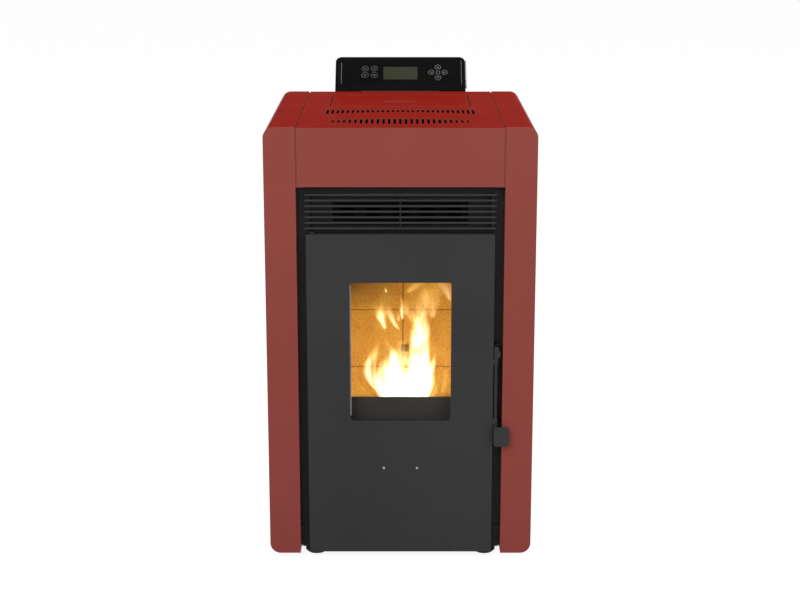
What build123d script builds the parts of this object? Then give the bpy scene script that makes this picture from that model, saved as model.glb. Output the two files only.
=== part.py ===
from build123d import *
import os
from math import atan2, cos, degrees, radians, sin

# Pellet stove, in millimetres: +X to the right, +Z up, the front faces -Y.
# While the pieces are made, y = 0 is the front plane of the red casing and z = 0 is the floor.

# Casing
WIDTH = 460.0
DEPTH = 486.0
TOP = 773.0
CHEEK_WIDTH = 53.5
CHEEK_BOTTOM = 15.0
CHEEK_RADIUS = 18.5
CHEEK_SHEET = 1.5
CHEEK_FLANGE = 25.0
CHEEK_RETURN = 40.0
SEAM = 3.0
SEAM_STRIP = 1.0
COVER_SHEET = 2.0
COVER_BEND = 3.0
COVER_LIP = 12.0
FASCIA_HEIGHT = 102.0
PANEL_SHEET = 2.0
PANEL_SPLIT_Z = 345.0
LOUVRE_LENGTH = 44.0
LOUVRE_WIDTH = 6.0
LOUVRE_PITCH = 14.0
LOUVRE_ROW_PITCH = 56.0
LOUVRE_COLUMNS = 12
LOUVRE_ROWS = 5
LOUVRE_MARGIN = 36.0
GAP = 0.3

# Base, feet and chassis
FOOT_RADIUS = 20.0
FOOT_HEIGHT = 16.0
FOOT_CHAMFER = 4.0
FOOT_INSET = 23.5
FOOT_FRONT_Y = 50.5
FOOT_REAR_INSET = 46.0
TRAY_SHEET = 1.5
TRAY_HEIGHT = 22.0
CHASSIS_SHEET = 2.0
CHASSIS_WINDOW_LOW = 60.0
CHASSIS_WINDOW_DROP = 53.0
CHASSIS_WINDOW_INSET = 40.0
STAND_INSET = 10.0
STAND_SHEET = 3.0
STAND_FLANGE = 14.0
STAND_FRONT_Y = 48.0

# Front frame and air grille
FRAME_FACE_Y = 25.0
FRAME_BOTTOM = 20.0
FRAME_RETURN = 13.0
GRILLE_Y = 8.0
GRILLE_INSET = 11.2
SLAT_COUNT = 7
SLAT_PITCH = 9.6
SLAT_RISE = 9.2
SLAT_HEIGHT = 4.0
SLAT_DEPTH = 6.0
SLAT_RIB = 3.0
SLAT_RIB_INSET = 6.0
OUTLET_INSET = 46.0
OUTLET_RISE = 12.0
OUTLET_HEIGHT = 45.0
CLIP_HEIGHT = 16.0
CLIP_LOW = 42.0
CLIP_SHEET = 2.5

# Vent slots in the cover
VENT_WIDTH = 4.8
FRONT_VENTS = 25
FRONT_VENT_PITCH = 9.6
FRONT_VENT_Y = 75.0
FRONT_VENT_MIDDLE = 74.0
FRONT_VENT_END = 34.0
BACK_VENTS = 30
BACK_VENT_PITCH = 8.9
BACK_VENT_Y = 227.0
BACK_VENT_MIDDLE = 40.0
BACK_VENT_END = 66.0

# Hopper lid
LID_HALF = 126.5
LID_FRONT = 262.0
LID_REAR_INSET = 54.0
LID_GAP = 2.0
LID_BACK_GAP = 2.5
LID_FLANGE = 13.0
LID_PIVOT_INSET = 2.0
LID_PIVOT_DROP = 4.0
LID_KNUCKLE_RADIUS = 3.0
LID_PIN_RADIUS = 1.5
LID_HINGE_X = 90.0
LID_KNUCKLE = 8.0
LID_CENTRE_KNUCKLE = 20.0
PULL_Y = 325.0
PULL_HALF = 29.0
PULL_DEPTH = 5.0
PULL_HEIGHT = 2.0

# Door
DOOR_SIDE_GAP = 13.2
DOOR_BOTTOM = 16.5
GRILLE_FIELD = 81.0
DOOR_FRONT_Y = 2.5
DOOR_BACK_Y = 20.0
DOOR_PLATE = 3.0
DOOR_RETURN = 2.0
WINDOW_HALF = 87.0
WINDOW_HEIGHT = 247.0
WINDOW_DROP = 84.0
WINDOW_RADIUS = 8.0
WINDOW_TOP_RADIUS = 1.5
GLASS_OVERLAP = 14.0
GLASS_THICK = 4.0
GLASS_CLIP = 18.0
GLASS_CLIP_INSET = 51.0
SEAL_THICK = 1.5
SEAL_WIDTH = 10.0
INNER_FRAME_Y = 14.0
INNER_FRAME_SHEET = 3.0
INNER_FRAME_LAP = 8.0
ROPE_RADIUS = 3.85
ROPE_LAP = 10.0
ROPE_CORNER = 20.0
HINGE_INSET = 10.0
HINGE_Y = 10.0
HINGE_PIN_RADIUS = 3.0
HINGE_TAB = 8.6
HINGE_SHEET = 3.0
HINGE_PIN_REACH = 7.0
HINGE_LEAF = 17.0
HINGE_LEAF_SHEET = 2.0
RUNNING_FIT = 0.05
STUD_X = 29.0
STUD_Z = 172.6
STUD_RADIUS = 2.4

# Door latch
LATCH_STAND = 5.0
LATCH_Y = 6.0
LATCH_ROD_RADIUS = 3.0
LATCH_LOW = 218.0
LATCH_HIGH = 392.0
LUG_LOW_Z = 254.0
LUG_HIGH_Z = 362.0
LUG_HEIGHT = 8.0
LUG_RADIUS = 4.2
NOSE_REACH = 8.0
NOSE_THICK = 6.0
NOSE_HEIGHT = 20.0
TAIL_REACH = 14.0
TAIL_WIDTH = 5.0
TAIL_ANGLE = 95.0
GRIP_HEIGHT = 34.0
GRIP_FACE_Y = -14.0
GRIP_THICK = 4.0
GRIP_INNER = 1.8
GRIP_OUTER = 23.5
GRIP_CORNER = 5.0
GRIP_HUB_RADIUS = 4.6
GRIP_WEB = 3.5
KEEPER_SHEET = 2.0
KEEPER_INSET = 4.2
KEEPER_REACH = 10.0
KEEPER_PIN_RADIUS = 1.2

# Fire chamber
FIRE_INSET = 32.0
FIRE_LOW = 148.0
FIRE_DROP = 28.0
FIRE_SMOKE_HEIGHT = 102.0
FIRE_BACK = 224.0
FIRE_WALL = 4.0
SHELF_Z = 236.0
BRICK_THICK = 22.0
BRICK_COURSE = 108.5
BRICK_DROP = 46.0
BRICK_JOINT = 1.0
BRICK_SPLIT_X = 4.8
LINER_THICK = 16.0
LINER_FRONT_Y = 44.0
BAFFLE_THICK = 10.0
BAFFLE_FRONT_Y = 70.0
TUBE_COUNT = 5
TUBE_MARGIN = 21.0
TUBE_RADIUS = 15.0
TUBE_WALL = 1.5
TUBE_DROP = 40.0

# Burn pot and its cradle
CRADLE_INSET = 17.0
CRADLE_FRONT_Y = 36.0
CRADLE_LIP_Z = 292.0
CRADLE_PLATE = 4.0
POT_Y = 128.0
POT_HALF = 44.0
POT_TAPER = 8.0
POT_HEIGHT = 42.0
POT_STAND = 6.0
POT_WALL = 4.0
POT_RIM = 7.0
POT_CORNER = 10.0
POT_HOLES = 4
POT_HOLE_PITCH = 14.0
POT_HOLE_RADIUS = 2.5

# Ash drawer
DRAWER_INSET = 23.0
DRAWER_FRONT_Y = 32.0
DRAWER_BACK_Y = 200.0
DRAWER_HIGH = 204.0
DRAWER_SHEET = 2.0
HANDLE_HALF = 34.0
HANDLE_REACH = 13.5
HANDLE_RADIUS = 3.0

# Hopper and pellet feed
HOPPER_HALF = 116.0
HOPPER_FRONT_GAP = 10.0
HOPPER_BACK_GAP = 14.0
HOPPER_DROP = 10.0
HOPPER_SHEET = 1.5
HOPPER_RIM = 6.0
HOPPER_BEND_Z = 580.0
THROAT_Z = 440.0
THROAT_HALF = 20.0
THROAT_DEPTH = 42.0
THROAT_END_Z = 372.0
HANGER_DROP = 73.0
HANGER_DEPTH = 40.0
HANGER_SHEET = 3.0
FEED_REAR_INSET = 74.0
FEED_LOW_Z = 342.0
FEED_HIGH_GAP = 34.0
FEED_HIGH_RISE = 28.0
FEED_RADIUS = 23.0
FEED_WALL = 2.5
AUGER_RADIUS = 19.5
AUGER_CORE = 6.0
AUGER_PITCH = 36.0
AUGER_TURNS = 6
AUGER_FLIGHT = 3.0
AUGER_START = 8.0
GEAR_LENGTH = 34.0
GEAR_WIDTH = 60.0
GEAR_HEIGHT = 52.0
MOTOR_RADIUS = 22.0
MOTOR_LENGTH = 30.0
FEED_SHAFT = 5.0
CHUTE_HALF = 26.0
CHUTE_SHEET = 2.0
CHUTE_LOW_DROP = 62.0
CHUTE_HIGH_DROP = 4.0

# Smoke fan, flue and combustion air
SMOKE_WIDTH = 67.0
FAN_GAP = 102.0
SMOKE_FAN_Z = 120.0
SMOKE_TONGUE = 46.0
SMOKE_SCROLL = 74.0
SMOKE_INLET = 30.0
FAN_SHEET = 2.0
FAN_FOOT = 3.0
FAN_FLANGE = 3.0
SMOKE_FOOT_INSET = 8.0
SMOKE_WHEEL = 40.0
SMOKE_BLADES = 8
SMOKE_BLADE_WIDTH = 34.0
BLADE_SHEET = 1.6
FAN_SHAFT = 4.0
FAN_MOTOR_RADIUS = 31.0
SMOKE_MOTOR_LENGTH = 46.0
FLUE_OFFSET = 1.5
FLUE_Z = 156.0
FLUE_RADIUS = 40.0
FLUE_WALL = 1.5
FLUE_START = 82.0
FLUE_REACH = 86.0
BEAD_STAND = 1.0
BEAD_WIDTH = 3.0
BEAD_HEIGHT = 2.5
DUCT_SIDE_GAP = 7.8
DUCT_WIDTH = 41.0
DUCT_LOW_Z = 70.0
DUCT_LEG_Z = 168.0
DUCT_HIGH_Z = 226.0
DUCT_END = 42.0
DUCT_MOUTH_SIDE = 22.0
DUCT_MOUTH_WIDTH = 40.0
DUCT_MOUTH_INSET = 10.0
INTAKE_Z = 200.0
INTAKE_RADIUS = 25.0
INTAKE_WALL = 1.5
INTAKE_REACH = 26.0
IGNITER_Z = 250.0
IGNITER_RADIUS = 5.0

# Convection fan
FAN_SPACING = 36.0
CONV_SIDE_GAP = 53.8
CONV_FAN_Z = 100.0
CONV_TONGUE = 50.0
CONV_SCROLL = 70.0
CONV_WHEEL = 44.0
CONV_INLET = 34.0
CONV_BLADES = 24
CONV_BLADE_DEPTH = 11.0
CONV_RING = 3.0
CONV_MOTOR_LENGTH = 38.0

# Electric parts
BOARD_LENGTH = 140.0
BOARD_REAR_INSET = 46.0
BOARD_Z0 = 215.0
BOARD_HEIGHT = 115.0
BOARD_EDGE = 8.0
POST_RADIUS = 3.0
RELAY_WIDTH = 16.0
RELAY_HEIGHT = 14.0
RELAY_DEPTH = 15.0
RELAY_PITCH = 22.0
RELAY_COUNT = 4
STRIP_HEIGHT = 10.0
STRIP_DEPTH = 12.0
BOARD_THICK = 1.6
BOARD_STANDOFF = 8.0
PRESSURE_REAR_INSET = 86.0
PRESSURE_Z = 300.0
PRESSURE_RADIUS = 20.0
PRESSURE_DEPTH = 18.0
INLET_SIDE_GAP = 55.5
INLET_Z = 62.0
INLET_WIDTH = 27.0
INLET_HEIGHT = 20.0
INLET_FLANGE = 6.0
INLET_DEPTH = 20.0
SWITCH_PITCH = 40.0
SWITCH_WIDTH = 13.0
SWITCH_HEIGHT = 19.0
SWITCH_CREST = 2.5
SWITCH_TILT = 8.0

# Console
CONSOLE_BEHIND = 6.0
CONSOLE_LEAN = 45.0
CONSOLE_HALF = 127.0
CONSOLE_LENGTH = 85.0
CONSOLE_THICK = 24.0
CONSOLE_RADIUS = 12.0
CONSOLE_WALL = 2.5
FACEPLATE_HALF = 119.0
FACEPLATE_LOW = 12.0
FACEPLATE_HIGH = 78.0
FACEPLATE_THICK = 2.5
DISPLAY_HALF = 33.5
DISPLAY_LOW = 28.5
DISPLAY_HIGH = 60.5
DISPLAY_FRAME = 3.0
KEY_RADIUS = 7.5
KEY_X = (-69.0, -51.0)
KEY_S = (54.0, 38.0)
KEY_STAND = 1.2
KEY_DEPTH = 5.0
KEY_CLEARANCE = 0.35
PAD_X = 73.5
PAD_S = 45.0
PAD_REACH = 20.5
PAD_HALF = 7.0
PAD_CENTRE = 9.0
BRACKET_HALF = 75.0
BRACKET_SHEET = 2.5
BRACKET_DROP = 61.0
BOARD_GAP = 1.0

# Fasteners of the rear panel
SCREW_RADIUS = 4.0
SCREW_HEAD = 1.8
SCREW_INSET = 12.0
SCREW_COUNT = 5
SCREW_LOW_RISE = 32.0
SCREW_TOP_DROP = 33.0
SCREW_RECESS = 1.2

# Places worked out from the sizes above
CHEEK_IN = WIDTH / 2 - CHEEK_WIDTH
COVER_HALF = CHEEK_IN - SEAM
FASCIA_BOTTOM = TOP - FASCIA_HEIGHT
CHASSIS_IN = COVER_HALF + GAP
FRAME_HALF = COVER_HALF - GAP
FRAME_TOP = FASCIA_BOTTOM
FRAME_BACK_Y = FRAME_FACE_Y + PANEL_SHEET
TRAY_FRONT_Y = FRAME_BACK_Y + HINGE_LEAF_SHEET + GAP
PANEL_BACK_Y = DEPTH - COVER_SHEET
PANEL_FRONT_Y = PANEL_BACK_Y - PANEL_SHEET
TRAY_FLOOR = FOOT_HEIGHT + TRAY_SHEET
TRAY_TOP = FOOT_HEIGHT + TRAY_HEIGHT
FOOT_X = COVER_HALF - FOOT_INSET
FOOT_REAR_Y = DEPTH - FOOT_REAR_INSET
DOOR_HALF = FRAME_HALF - DOOR_SIDE_GAP
DOOR_TOP = FASCIA_BOTTOM - GRILLE_FIELD
WINDOW_HIGH = DOOR_TOP - WINDOW_DROP
WINDOW_LOW = WINDOW_HIGH - WINDOW_HEIGHT
HINGE_X = -DOOR_HALF + HINGE_INSET
LATCH_X = DOOR_HALF + LATCH_STAND
GRIP_INNER_X = LATCH_X - GRIP_INNER
GRIP_OUTER_X = LATCH_X + GRIP_OUTER
GRILLE_HALF = FRAME_HALF - GRILLE_INSET
SLAT_RIB_X = GRILLE_HALF - SLAT_RIB_INSET
SLAT_LOW_Z = DOOR_TOP + SLAT_RISE
OUTLET_HALF = GRILLE_HALF - OUTLET_INSET
OUTLET_LOW = DOOR_TOP + OUTLET_RISE
OUTLET_HIGH = OUTLET_LOW + OUTLET_HEIGHT
FIRE_HALF = DOOR_HALF - FIRE_INSET
FIRE_HIGH = DOOR_TOP - FIRE_DROP
FIRE_ROOF = FIRE_HIGH + FIRE_SMOKE_HEIGHT
FIRE_OUT = FIRE_HALF + FIRE_WALL
FIRE_REAR = FIRE_BACK + FIRE_WALL
BRICK_FACE_Y = FIRE_BACK - BRICK_THICK
BRICK_TOP = FIRE_HIGH - BRICK_DROP
TUBE_Z = FIRE_ROOF - TUBE_DROP
STAND_X = FIRE_HALF - STAND_INSET
CRADLE_HALF = FIRE_HALF - CRADLE_INSET
DRAWER_HALF = FIRE_HALF - DRAWER_INSET
POT_SEAT = SHELF_Z + CRADLE_PLATE + GAP
POT_TOP = POT_SEAT + CRADLE_PLATE + POT_STAND
POT_LOW = POT_TOP - POT_HEIGHT
LID_BACK = DEPTH - LID_REAR_INSET
LID_PIVOT_Y = LID_BACK - LID_PIVOT_INSET
LID_PIVOT_Z = TOP - LID_PIVOT_DROP
HOPPER_FRONT = LID_FRONT + HOPPER_FRONT_GAP
HOPPER_BACK = LID_BACK - HOPPER_BACK_GAP
HOPPER_TOP = TOP - HOPPER_DROP
HANGER_Z = TOP - HANGER_DROP
CHUTE_LOW_Z = FIRE_HIGH - CHUTE_LOW_DROP
CHUTE_HIGH_Z = FIRE_HIGH - CHUTE_HIGH_DROP
FEED_LOW_Y = DEPTH - FEED_REAR_INSET
FEED_HIGH_Y = FIRE_REAR + FEED_HIGH_GAP
FEED_HIGH_Z = CHUTE_LOW_Z + FEED_HIGH_RISE
THROAT_BACK = FEED_LOW_Y
THROAT_FRONT = THROAT_BACK - THROAT_DEPTH
FAN_Y = FIRE_REAR + FAN_GAP
DUCT_X0 = -CHASSIS_IN + DUCT_SIDE_GAP
DUCT_END_Y = FAN_Y + DUCT_END
DUCT_MOUTH_X0 = -FIRE_OUT + DUCT_MOUTH_SIDE
DUCT_MOUTH_X1 = DUCT_MOUTH_X0 + DUCT_MOUTH_WIDTH
SMOKE_X0 = DUCT_X0 + DUCT_WIDTH
SMOKE_X1 = SMOKE_X0 + SMOKE_WIDTH
FLUE_X = (SMOKE_X0 + SMOKE_X1) / 2 + FLUE_OFFSET
FLUE_START_Y = FAN_Y + FLUE_START
FLUE_END_Y = DEPTH + FLUE_REACH
BEAD_Y = DEPTH + BEAD_STAND
INTAKE_END_Y = DEPTH + INTAKE_REACH
CONV_X1 = CHASSIS_IN - CONV_SIDE_GAP
CONV_X0 = SMOKE_X1 + SMOKE_MOTOR_LENGTH + FAN_SPACING
INLET_X = COVER_HALF - INLET_SIDE_GAP
SWITCH_X = INLET_X - SWITCH_PITCH
BOARD_Y1 = DEPTH - BOARD_REAR_INSET
BOARD_Y0 = BOARD_Y1 - BOARD_LENGTH
BOARD_Z1 = BOARD_Z0 + BOARD_HEIGHT
PRESSURE_Y = DEPTH - PRESSURE_REAR_INSET
CONSOLE_Y = DEPTH + CONSOLE_BEHIND
BRACKET_LOW_Z = TOP - BRACKET_DROP
CONSOLE_PLANE = Plane(
    origin=(0, CONSOLE_Y, TOP),
    x_dir=(1, 0, 0),
    z_dir=(0, -sin(radians(CONSOLE_LEAN)), cos(radians(CONSOLE_LEAN))),
)
CONSOLE_AXIS = Axis(CONSOLE_PLANE.origin, CONSOLE_PLANE.z_dir)
FEED_RISE = degrees(atan2(FEED_HIGH_Z - FEED_LOW_Z, FEED_LOW_Y - FEED_HIGH_Y))
FEED_DIRECTION = (0, -cos(radians(FEED_RISE)), sin(radians(FEED_RISE)))
FEED_PLANE = Plane(origin=(0, FEED_LOW_Y, FEED_LOW_Z), x_dir=(1, 0, 0), z_dir=FEED_DIRECTION)
FEED_LENGTH = (Vector(0, FEED_HIGH_Y, FEED_HIGH_Z) - Vector(0, FEED_LOW_Y, FEED_LOW_Z)).length
ORIGIN_Y = (FLUE_END_Y + GRIP_FACE_Y) / 2


def span(x0, x1, y0, y1, z0, z1):
    """A block between two corners."""
    middle = Pos((x0 + x1) / 2, (y0 + y1) / 2, (z0 + z1) / 2)
    return middle * Box(x1 - x0, y1 - y0, z1 - z0)


def rect(a0, a1, b0, b1, radius=0.0):
    """A rectangle between two corners, with rounded corners if a radius is given."""
    shape = Rectangle(a1 - a0, b1 - b0) if radius == 0 else RectangleRounded(a1 - a0, b1 - b0, radius)
    return Pos((a0 + a1) / 2, (b0 + b1) / 2) * shape


def front(sketch, y0, y1):
    """A sketch drawn in x and z, pulled from y0 back to y1."""
    plane = Plane(origin=(0, y0, 0), x_dir=(1, 0, 0), z_dir=(0, -1, 0))
    return extrude(plane * sketch, amount=y0 - y1)


def side(sketch, x0, x1):
    """A sketch drawn in y and z, pulled from x0 to x1."""
    return extrude(Plane.YZ.offset(x0) * sketch, amount=x1 - x0)


def plan(sketch, z0, z1):
    """A sketch drawn in x and y, pulled from z0 up to z1."""
    return extrude(Plane.XY.offset(z0) * sketch, amount=z1 - z0)


def both_sides(shape):
    """A shape and its mirror image across the middle of the stove."""
    return [shape, mirror(shape, about=Plane.YZ)]


# ---------------------------------------------------------------- casing

def cheek_outline(inset):
    """The D-shaped end of a cheek, drawn in x and z, with its outer corners rounded."""
    shape = rect(CHEEK_IN + inset, WIDTH / 2 - inset, CHEEK_BOTTOM + inset, TOP - inset)
    corners = shape.vertices().group_by(Axis.X)[-1]
    return fillet(corners, CHEEK_RADIUS - inset)


def make_right_cheek():
    """A bent sheet cheek: closed front, sides and back, open towards the chassis."""
    cheek = front(cheek_outline(0), 0, DEPTH)
    cheek -= front(cheek_outline(CHEEK_SHEET), CHEEK_SHEET, DEPTH - CHEEK_SHEET)
    cheek -= span(
        CHEEK_IN - 1, CHEEK_IN + 2 * CHEEK_SHEET,
        CHEEK_RETURN, DEPTH - CHEEK_FLANGE,
        CHEEK_BOTTOM + CHEEK_FLANGE, TOP - CHEEK_FLANGE,
    )
    return cheek


def vent_slot(x, y0, y1):
    """One vent slot with round ends, running from y0 back to y1."""
    return Pos(x, (y0 + y1) / 2) * SlotOverall(y1 - y0, VENT_WIDTH, rotation=90)


def vent_rows():
    """The two rows of vent slots: a lens-shaped row in front, an arch behind it."""
    slots = []
    middle = (FRONT_VENTS - 1) / 2
    for i in range(FRONT_VENTS):
        share = (i - middle) / middle
        length = FRONT_VENT_MIDDLE + (FRONT_VENT_END - FRONT_VENT_MIDDLE) * share ** 2
        y0 = FRONT_VENT_Y - length / 2
        slots.append(vent_slot((i - middle) * FRONT_VENT_PITCH, y0, y0 + length))
    middle = (BACK_VENTS - 1) / 2
    for i in range(BACK_VENTS):
        share = (i - middle) / middle
        length = BACK_VENT_MIDDLE + (BACK_VENT_END - BACK_VENT_MIDDLE) * share ** 2
        slots.append(vent_slot((i - middle) * BACK_VENT_PITCH, BACK_VENT_Y - length, BACK_VENT_Y))
    return Sketch() + slots


def make_top_cover():
    """The top and the front fascia, bent from one sheet, with a strip under each seam."""
    half_sheet = COVER_SHEET / 2
    line = FilletPolyline(
        (half_sheet, FASCIA_BOTTOM + half_sheet),
        (half_sheet, TOP - half_sheet),
        (DEPTH - half_sheet, TOP - half_sheet),
        (DEPTH - half_sheet, TOP - COVER_LIP + half_sheet),
        radius=COVER_BEND - half_sheet,
    )
    cover = side(trace(line, line_width=COVER_SHEET), -COVER_HALF, COVER_HALF)
    strip_low = TOP - COVER_SHEET - SEAM_STRIP
    strip_in = COVER_HALF - COVER_LIP
    strip_out = CHEEK_IN - GAP
    strip = span(strip_in, strip_out, COVER_SHEET, DEPTH - COVER_SHEET, strip_low, TOP - COVER_SHEET)
    strip += span(strip_in, strip_out, COVER_SHEET, COVER_SHEET + SEAM_STRIP, FASCIA_BOTTOM, strip_low)
    for piece in both_sides(strip):
        cover += piece
    cover -= plan(vent_rows(), TOP - 2 * COVER_SHEET, TOP + 1)
    cover -= span(
        -LID_HALF - LID_GAP, LID_HALF + LID_GAP,
        LID_FRONT - LID_GAP, LID_BACK + LID_BACK_GAP,
        TOP - 2 * COVER_SHEET, TOP + 1,
    )
    return cover


def make_base_tray():
    """The pressed base tray and the two folded stands that carry the fire chamber."""
    tray = span(-COVER_HALF, COVER_HALF, TRAY_FRONT_Y, PANEL_FRONT_Y, FOOT_HEIGHT, TRAY_TOP)
    tray -= span(
        -COVER_HALF + TRAY_SHEET, COVER_HALF - TRAY_SHEET,
        TRAY_FRONT_Y + TRAY_SHEET, PANEL_FRONT_Y - TRAY_SHEET,
        TRAY_FLOOR, TRAY_TOP + 1,
    )
    stand_x = STAND_X + STAND_SHEET
    stand = span(STAND_X, stand_x, STAND_FRONT_Y, FIRE_BACK, TRAY_FLOOR, FIRE_LOW - FIRE_WALL)
    foot_top = TRAY_FLOOR + STAND_SHEET
    stand += span(STAND_X - STAND_FLANGE, STAND_X, STAND_FRONT_Y, FIRE_BACK, TRAY_FLOOR, foot_top)
    return [tray] + both_sides(stand)


def make_rubber_feet():
    """Four round rubber feet with chamfered lower edges."""
    feet = []
    for x in (-FOOT_X, FOOT_X):
        for y in (FOOT_FRONT_Y, FOOT_REAR_Y):
            foot = Cylinder(FOOT_RADIUS, FOOT_HEIGHT, align=(Align.CENTER, Align.CENTER, Align.MIN))
            foot = chamfer(foot.edges().group_by(Axis.Z)[0], FOOT_CHAMFER)
            feet.append(Pos(x, y, 0) * foot)
    return feet


def make_chassis_sides():
    """The two chassis walls behind the cheeks, with one large window each."""
    y0 = FRAME_BACK_Y
    top = TOP - COVER_SHEET - SEAM_STRIP - GAP
    wall = span(CHASSIS_IN, CHASSIS_IN + CHASSIS_SHEET, y0, PANEL_FRONT_Y, TRAY_FLOOR, top)
    inset = CHASSIS_WINDOW_INSET
    window_top = TOP - CHASSIS_WINDOW_DROP
    hole = rect(y0 + inset, FIRE_BACK + inset, CHASSIS_WINDOW_LOW, window_top, 12)
    wall -= side(hole, CHASSIS_IN - 1, CHASSIS_IN + CHASSIS_SHEET + 1)
    return both_sides(wall)


def make_front_frame():
    """The black frame plate with its returns, the door opening, the air outlet and the clips."""
    frame = front(rect(-FRAME_HALF, FRAME_HALF, FRAME_BOTTOM, FRAME_TOP), FRAME_FACE_Y, FRAME_BACK_Y)
    flange = span(
        FRAME_HALF - PANEL_SHEET, FRAME_HALF,
        FRAME_BACK_Y, FRAME_BACK_Y + FRAME_RETURN,
        TRAY_TOP + 2, FRAME_TOP,
    )
    for piece in both_sides(flange):
        frame += piece
    frame -= front(
        rect(-FIRE_HALF, FIRE_HALF, FIRE_LOW, FIRE_HIGH), FRAME_FACE_Y - 1, FRAME_BACK_Y + 1
    )
    frame -= front(
        rect(-OUTLET_HALF, OUTLET_HALF, OUTLET_LOW, OUTLET_HIGH, 3), FRAME_FACE_Y - 1, FRAME_BACK_Y + 1
    )
    clip = span(
        FRAME_HALF - 8, CHEEK_IN - GAP,
        FRAME_FACE_Y - CLIP_SHEET, FRAME_FACE_Y,
        CLIP_LOW, CLIP_LOW + CLIP_HEIGHT,
    )
    for piece in both_sides(clip):
        frame += piece
    return frame


def make_air_grille():
    """Seven rounded slats on three ribs that stand off the frame plate."""
    slat = rect(GRILLE_Y, GRILLE_Y + SLAT_DEPTH, -SLAT_HEIGHT / 2, SLAT_HEIGHT / 2, 1.4)
    grille = None
    for i in range(SLAT_COUNT):
        bar = Pos(0, 0, SLAT_LOW_Z + i * SLAT_PITCH) * side(slat, -GRILLE_HALF, GRILLE_HALF)
        grille = bar if grille is None else grille + bar
    high = SLAT_LOW_Z + (SLAT_COUNT - 1) * SLAT_PITCH
    for x in (-SLAT_RIB_X, 0, SLAT_RIB_X):
        grille += span(
            x - SLAT_RIB / 2, x + SLAT_RIB / 2,
            GRILLE_Y + SLAT_DEPTH / 2, FRAME_FACE_Y,
            SLAT_LOW_Z - 1, high + 1,
        )
    return grille


def louvre_field():
    """The field of upright ventilation slots in the upper rear panel."""
    slots = []
    middle = (LOUVRE_COLUMNS - 1) / 2
    low = PANEL_SPLIT_Z + LOUVRE_MARGIN + LOUVRE_LENGTH / 2
    for i in range(LOUVRE_COLUMNS):
        for j in range(LOUVRE_ROWS):
            place = Pos((i - middle) * LOUVRE_PITCH, low + j * LOUVRE_ROW_PITCH)
            slots.append(place * SlotOverall(LOUVRE_LENGTH, LOUVRE_WIDTH, rotation=90))
    return slots


def make_back_panel():
    """The lower rear panel with its four openings, and the louvred upper rear panel."""
    half = COVER_HALF - TRAY_SHEET - GAP
    panel = rect(-half, half, TRAY_TOP, PANEL_SPLIT_Z)
    panel -= Pos(FLUE_X, FLUE_Z) * Circle(FLUE_RADIUS + 1)
    panel -= Pos(0, INTAKE_Z) * Circle(INTAKE_RADIUS + GAP)
    panel -= Pos(INLET_X, INLET_Z) * Rectangle(INLET_WIDTH + 2 * GAP, INLET_HEIGHT + 2 * GAP)
    panel -= Pos(SWITCH_X, INLET_Z) * Rectangle(SWITCH_WIDTH + 2 * GAP + 3, SWITCH_HEIGHT + 2 * GAP + 3)
    upper = rect(-half, half, PANEL_SPLIT_Z + GAP, TOP - COVER_BEND - GAP)
    upper -= louvre_field()
    return [front(shape, PANEL_FRONT_Y, PANEL_BACK_Y) for shape in (panel, upper)]


def make_casing_screws():
    """Pan head screws that hold the rear panel to the chassis flanges."""
    screws = []
    head = Cylinder(SCREW_RADIUS, SCREW_HEAD)
    head -= Pos(0, 0, SCREW_HEAD / 2) * Box(SCREW_RECESS, SCREW_RECESS, SCREW_HEAD)
    x = COVER_HALF - SCREW_INSET
    low = TRAY_TOP + SCREW_LOW_RISE
    pitch = (TOP - SCREW_TOP_DROP - low) / (SCREW_COUNT - 1)
    for i in range(SCREW_COUNT):
        z = low + i * pitch
        for place in (-x, x):
            spot = Pos(place, PANEL_BACK_Y + SCREW_HEAD / 2, z) * Rot(-90, 0, 0)
            screws.append(spot * head)
    return screws


# ---------------------------------------------------------------- hopper lid

def make_hopper_lid():
    """The flush lid: a folded tray with a low pull and four hinge knuckles under its rear edge."""
    lid = span(-LID_HALF, LID_HALF, LID_FRONT, LID_BACK, TOP - LID_FLANGE, TOP)
    lid -= span(
        -LID_HALF + COVER_SHEET, LID_HALF - COVER_SHEET,
        LID_FRONT + COVER_SHEET, LID_BACK + 1,
        TOP - LID_FLANGE - 1, TOP - COVER_SHEET,
    )
    lid += span(-PULL_HALF, PULL_HALF, PULL_Y, PULL_Y + PULL_DEPTH, TOP - 1, TOP + PULL_HEIGHT)
    lid = fillet(lid.edges().filter_by(Axis.X).group_by(Axis.Z)[-1], PULL_HEIGHT * 0.4)
    knuckle = Circle(LID_KNUCKLE_RADIUS)
    knuckle += rect(-LID_KNUCKLE_RADIUS, 0, 0, LID_PIVOT_DROP - COVER_SHEET + 0.5)
    knuckle = Pos(LID_PIVOT_Y, LID_PIVOT_Z) * knuckle
    bore = Pos(LID_PIVOT_Y, LID_PIVOT_Z) * Circle(LID_PIN_RADIUS + RUNNING_FIT)
    half = LID_CENTRE_KNUCKLE / 2
    for centre in (-LID_HINGE_X, LID_HINGE_X):
        lid += side(knuckle, centre - half - LID_KNUCKLE, centre - half)
        lid += side(knuckle, centre + half, centre + half + LID_KNUCKLE)
        lid -= span(
            centre - half, centre + half,
            LID_PIVOT_Y - 2 * LID_KNUCKLE_RADIUS, LID_BACK + 1, TOP - LID_FLANGE, TOP + 1,
        )
        lid -= side(bore, centre - half - LID_KNUCKLE - 1, centre + half + LID_KNUCKLE + 1)
    return lid


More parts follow.
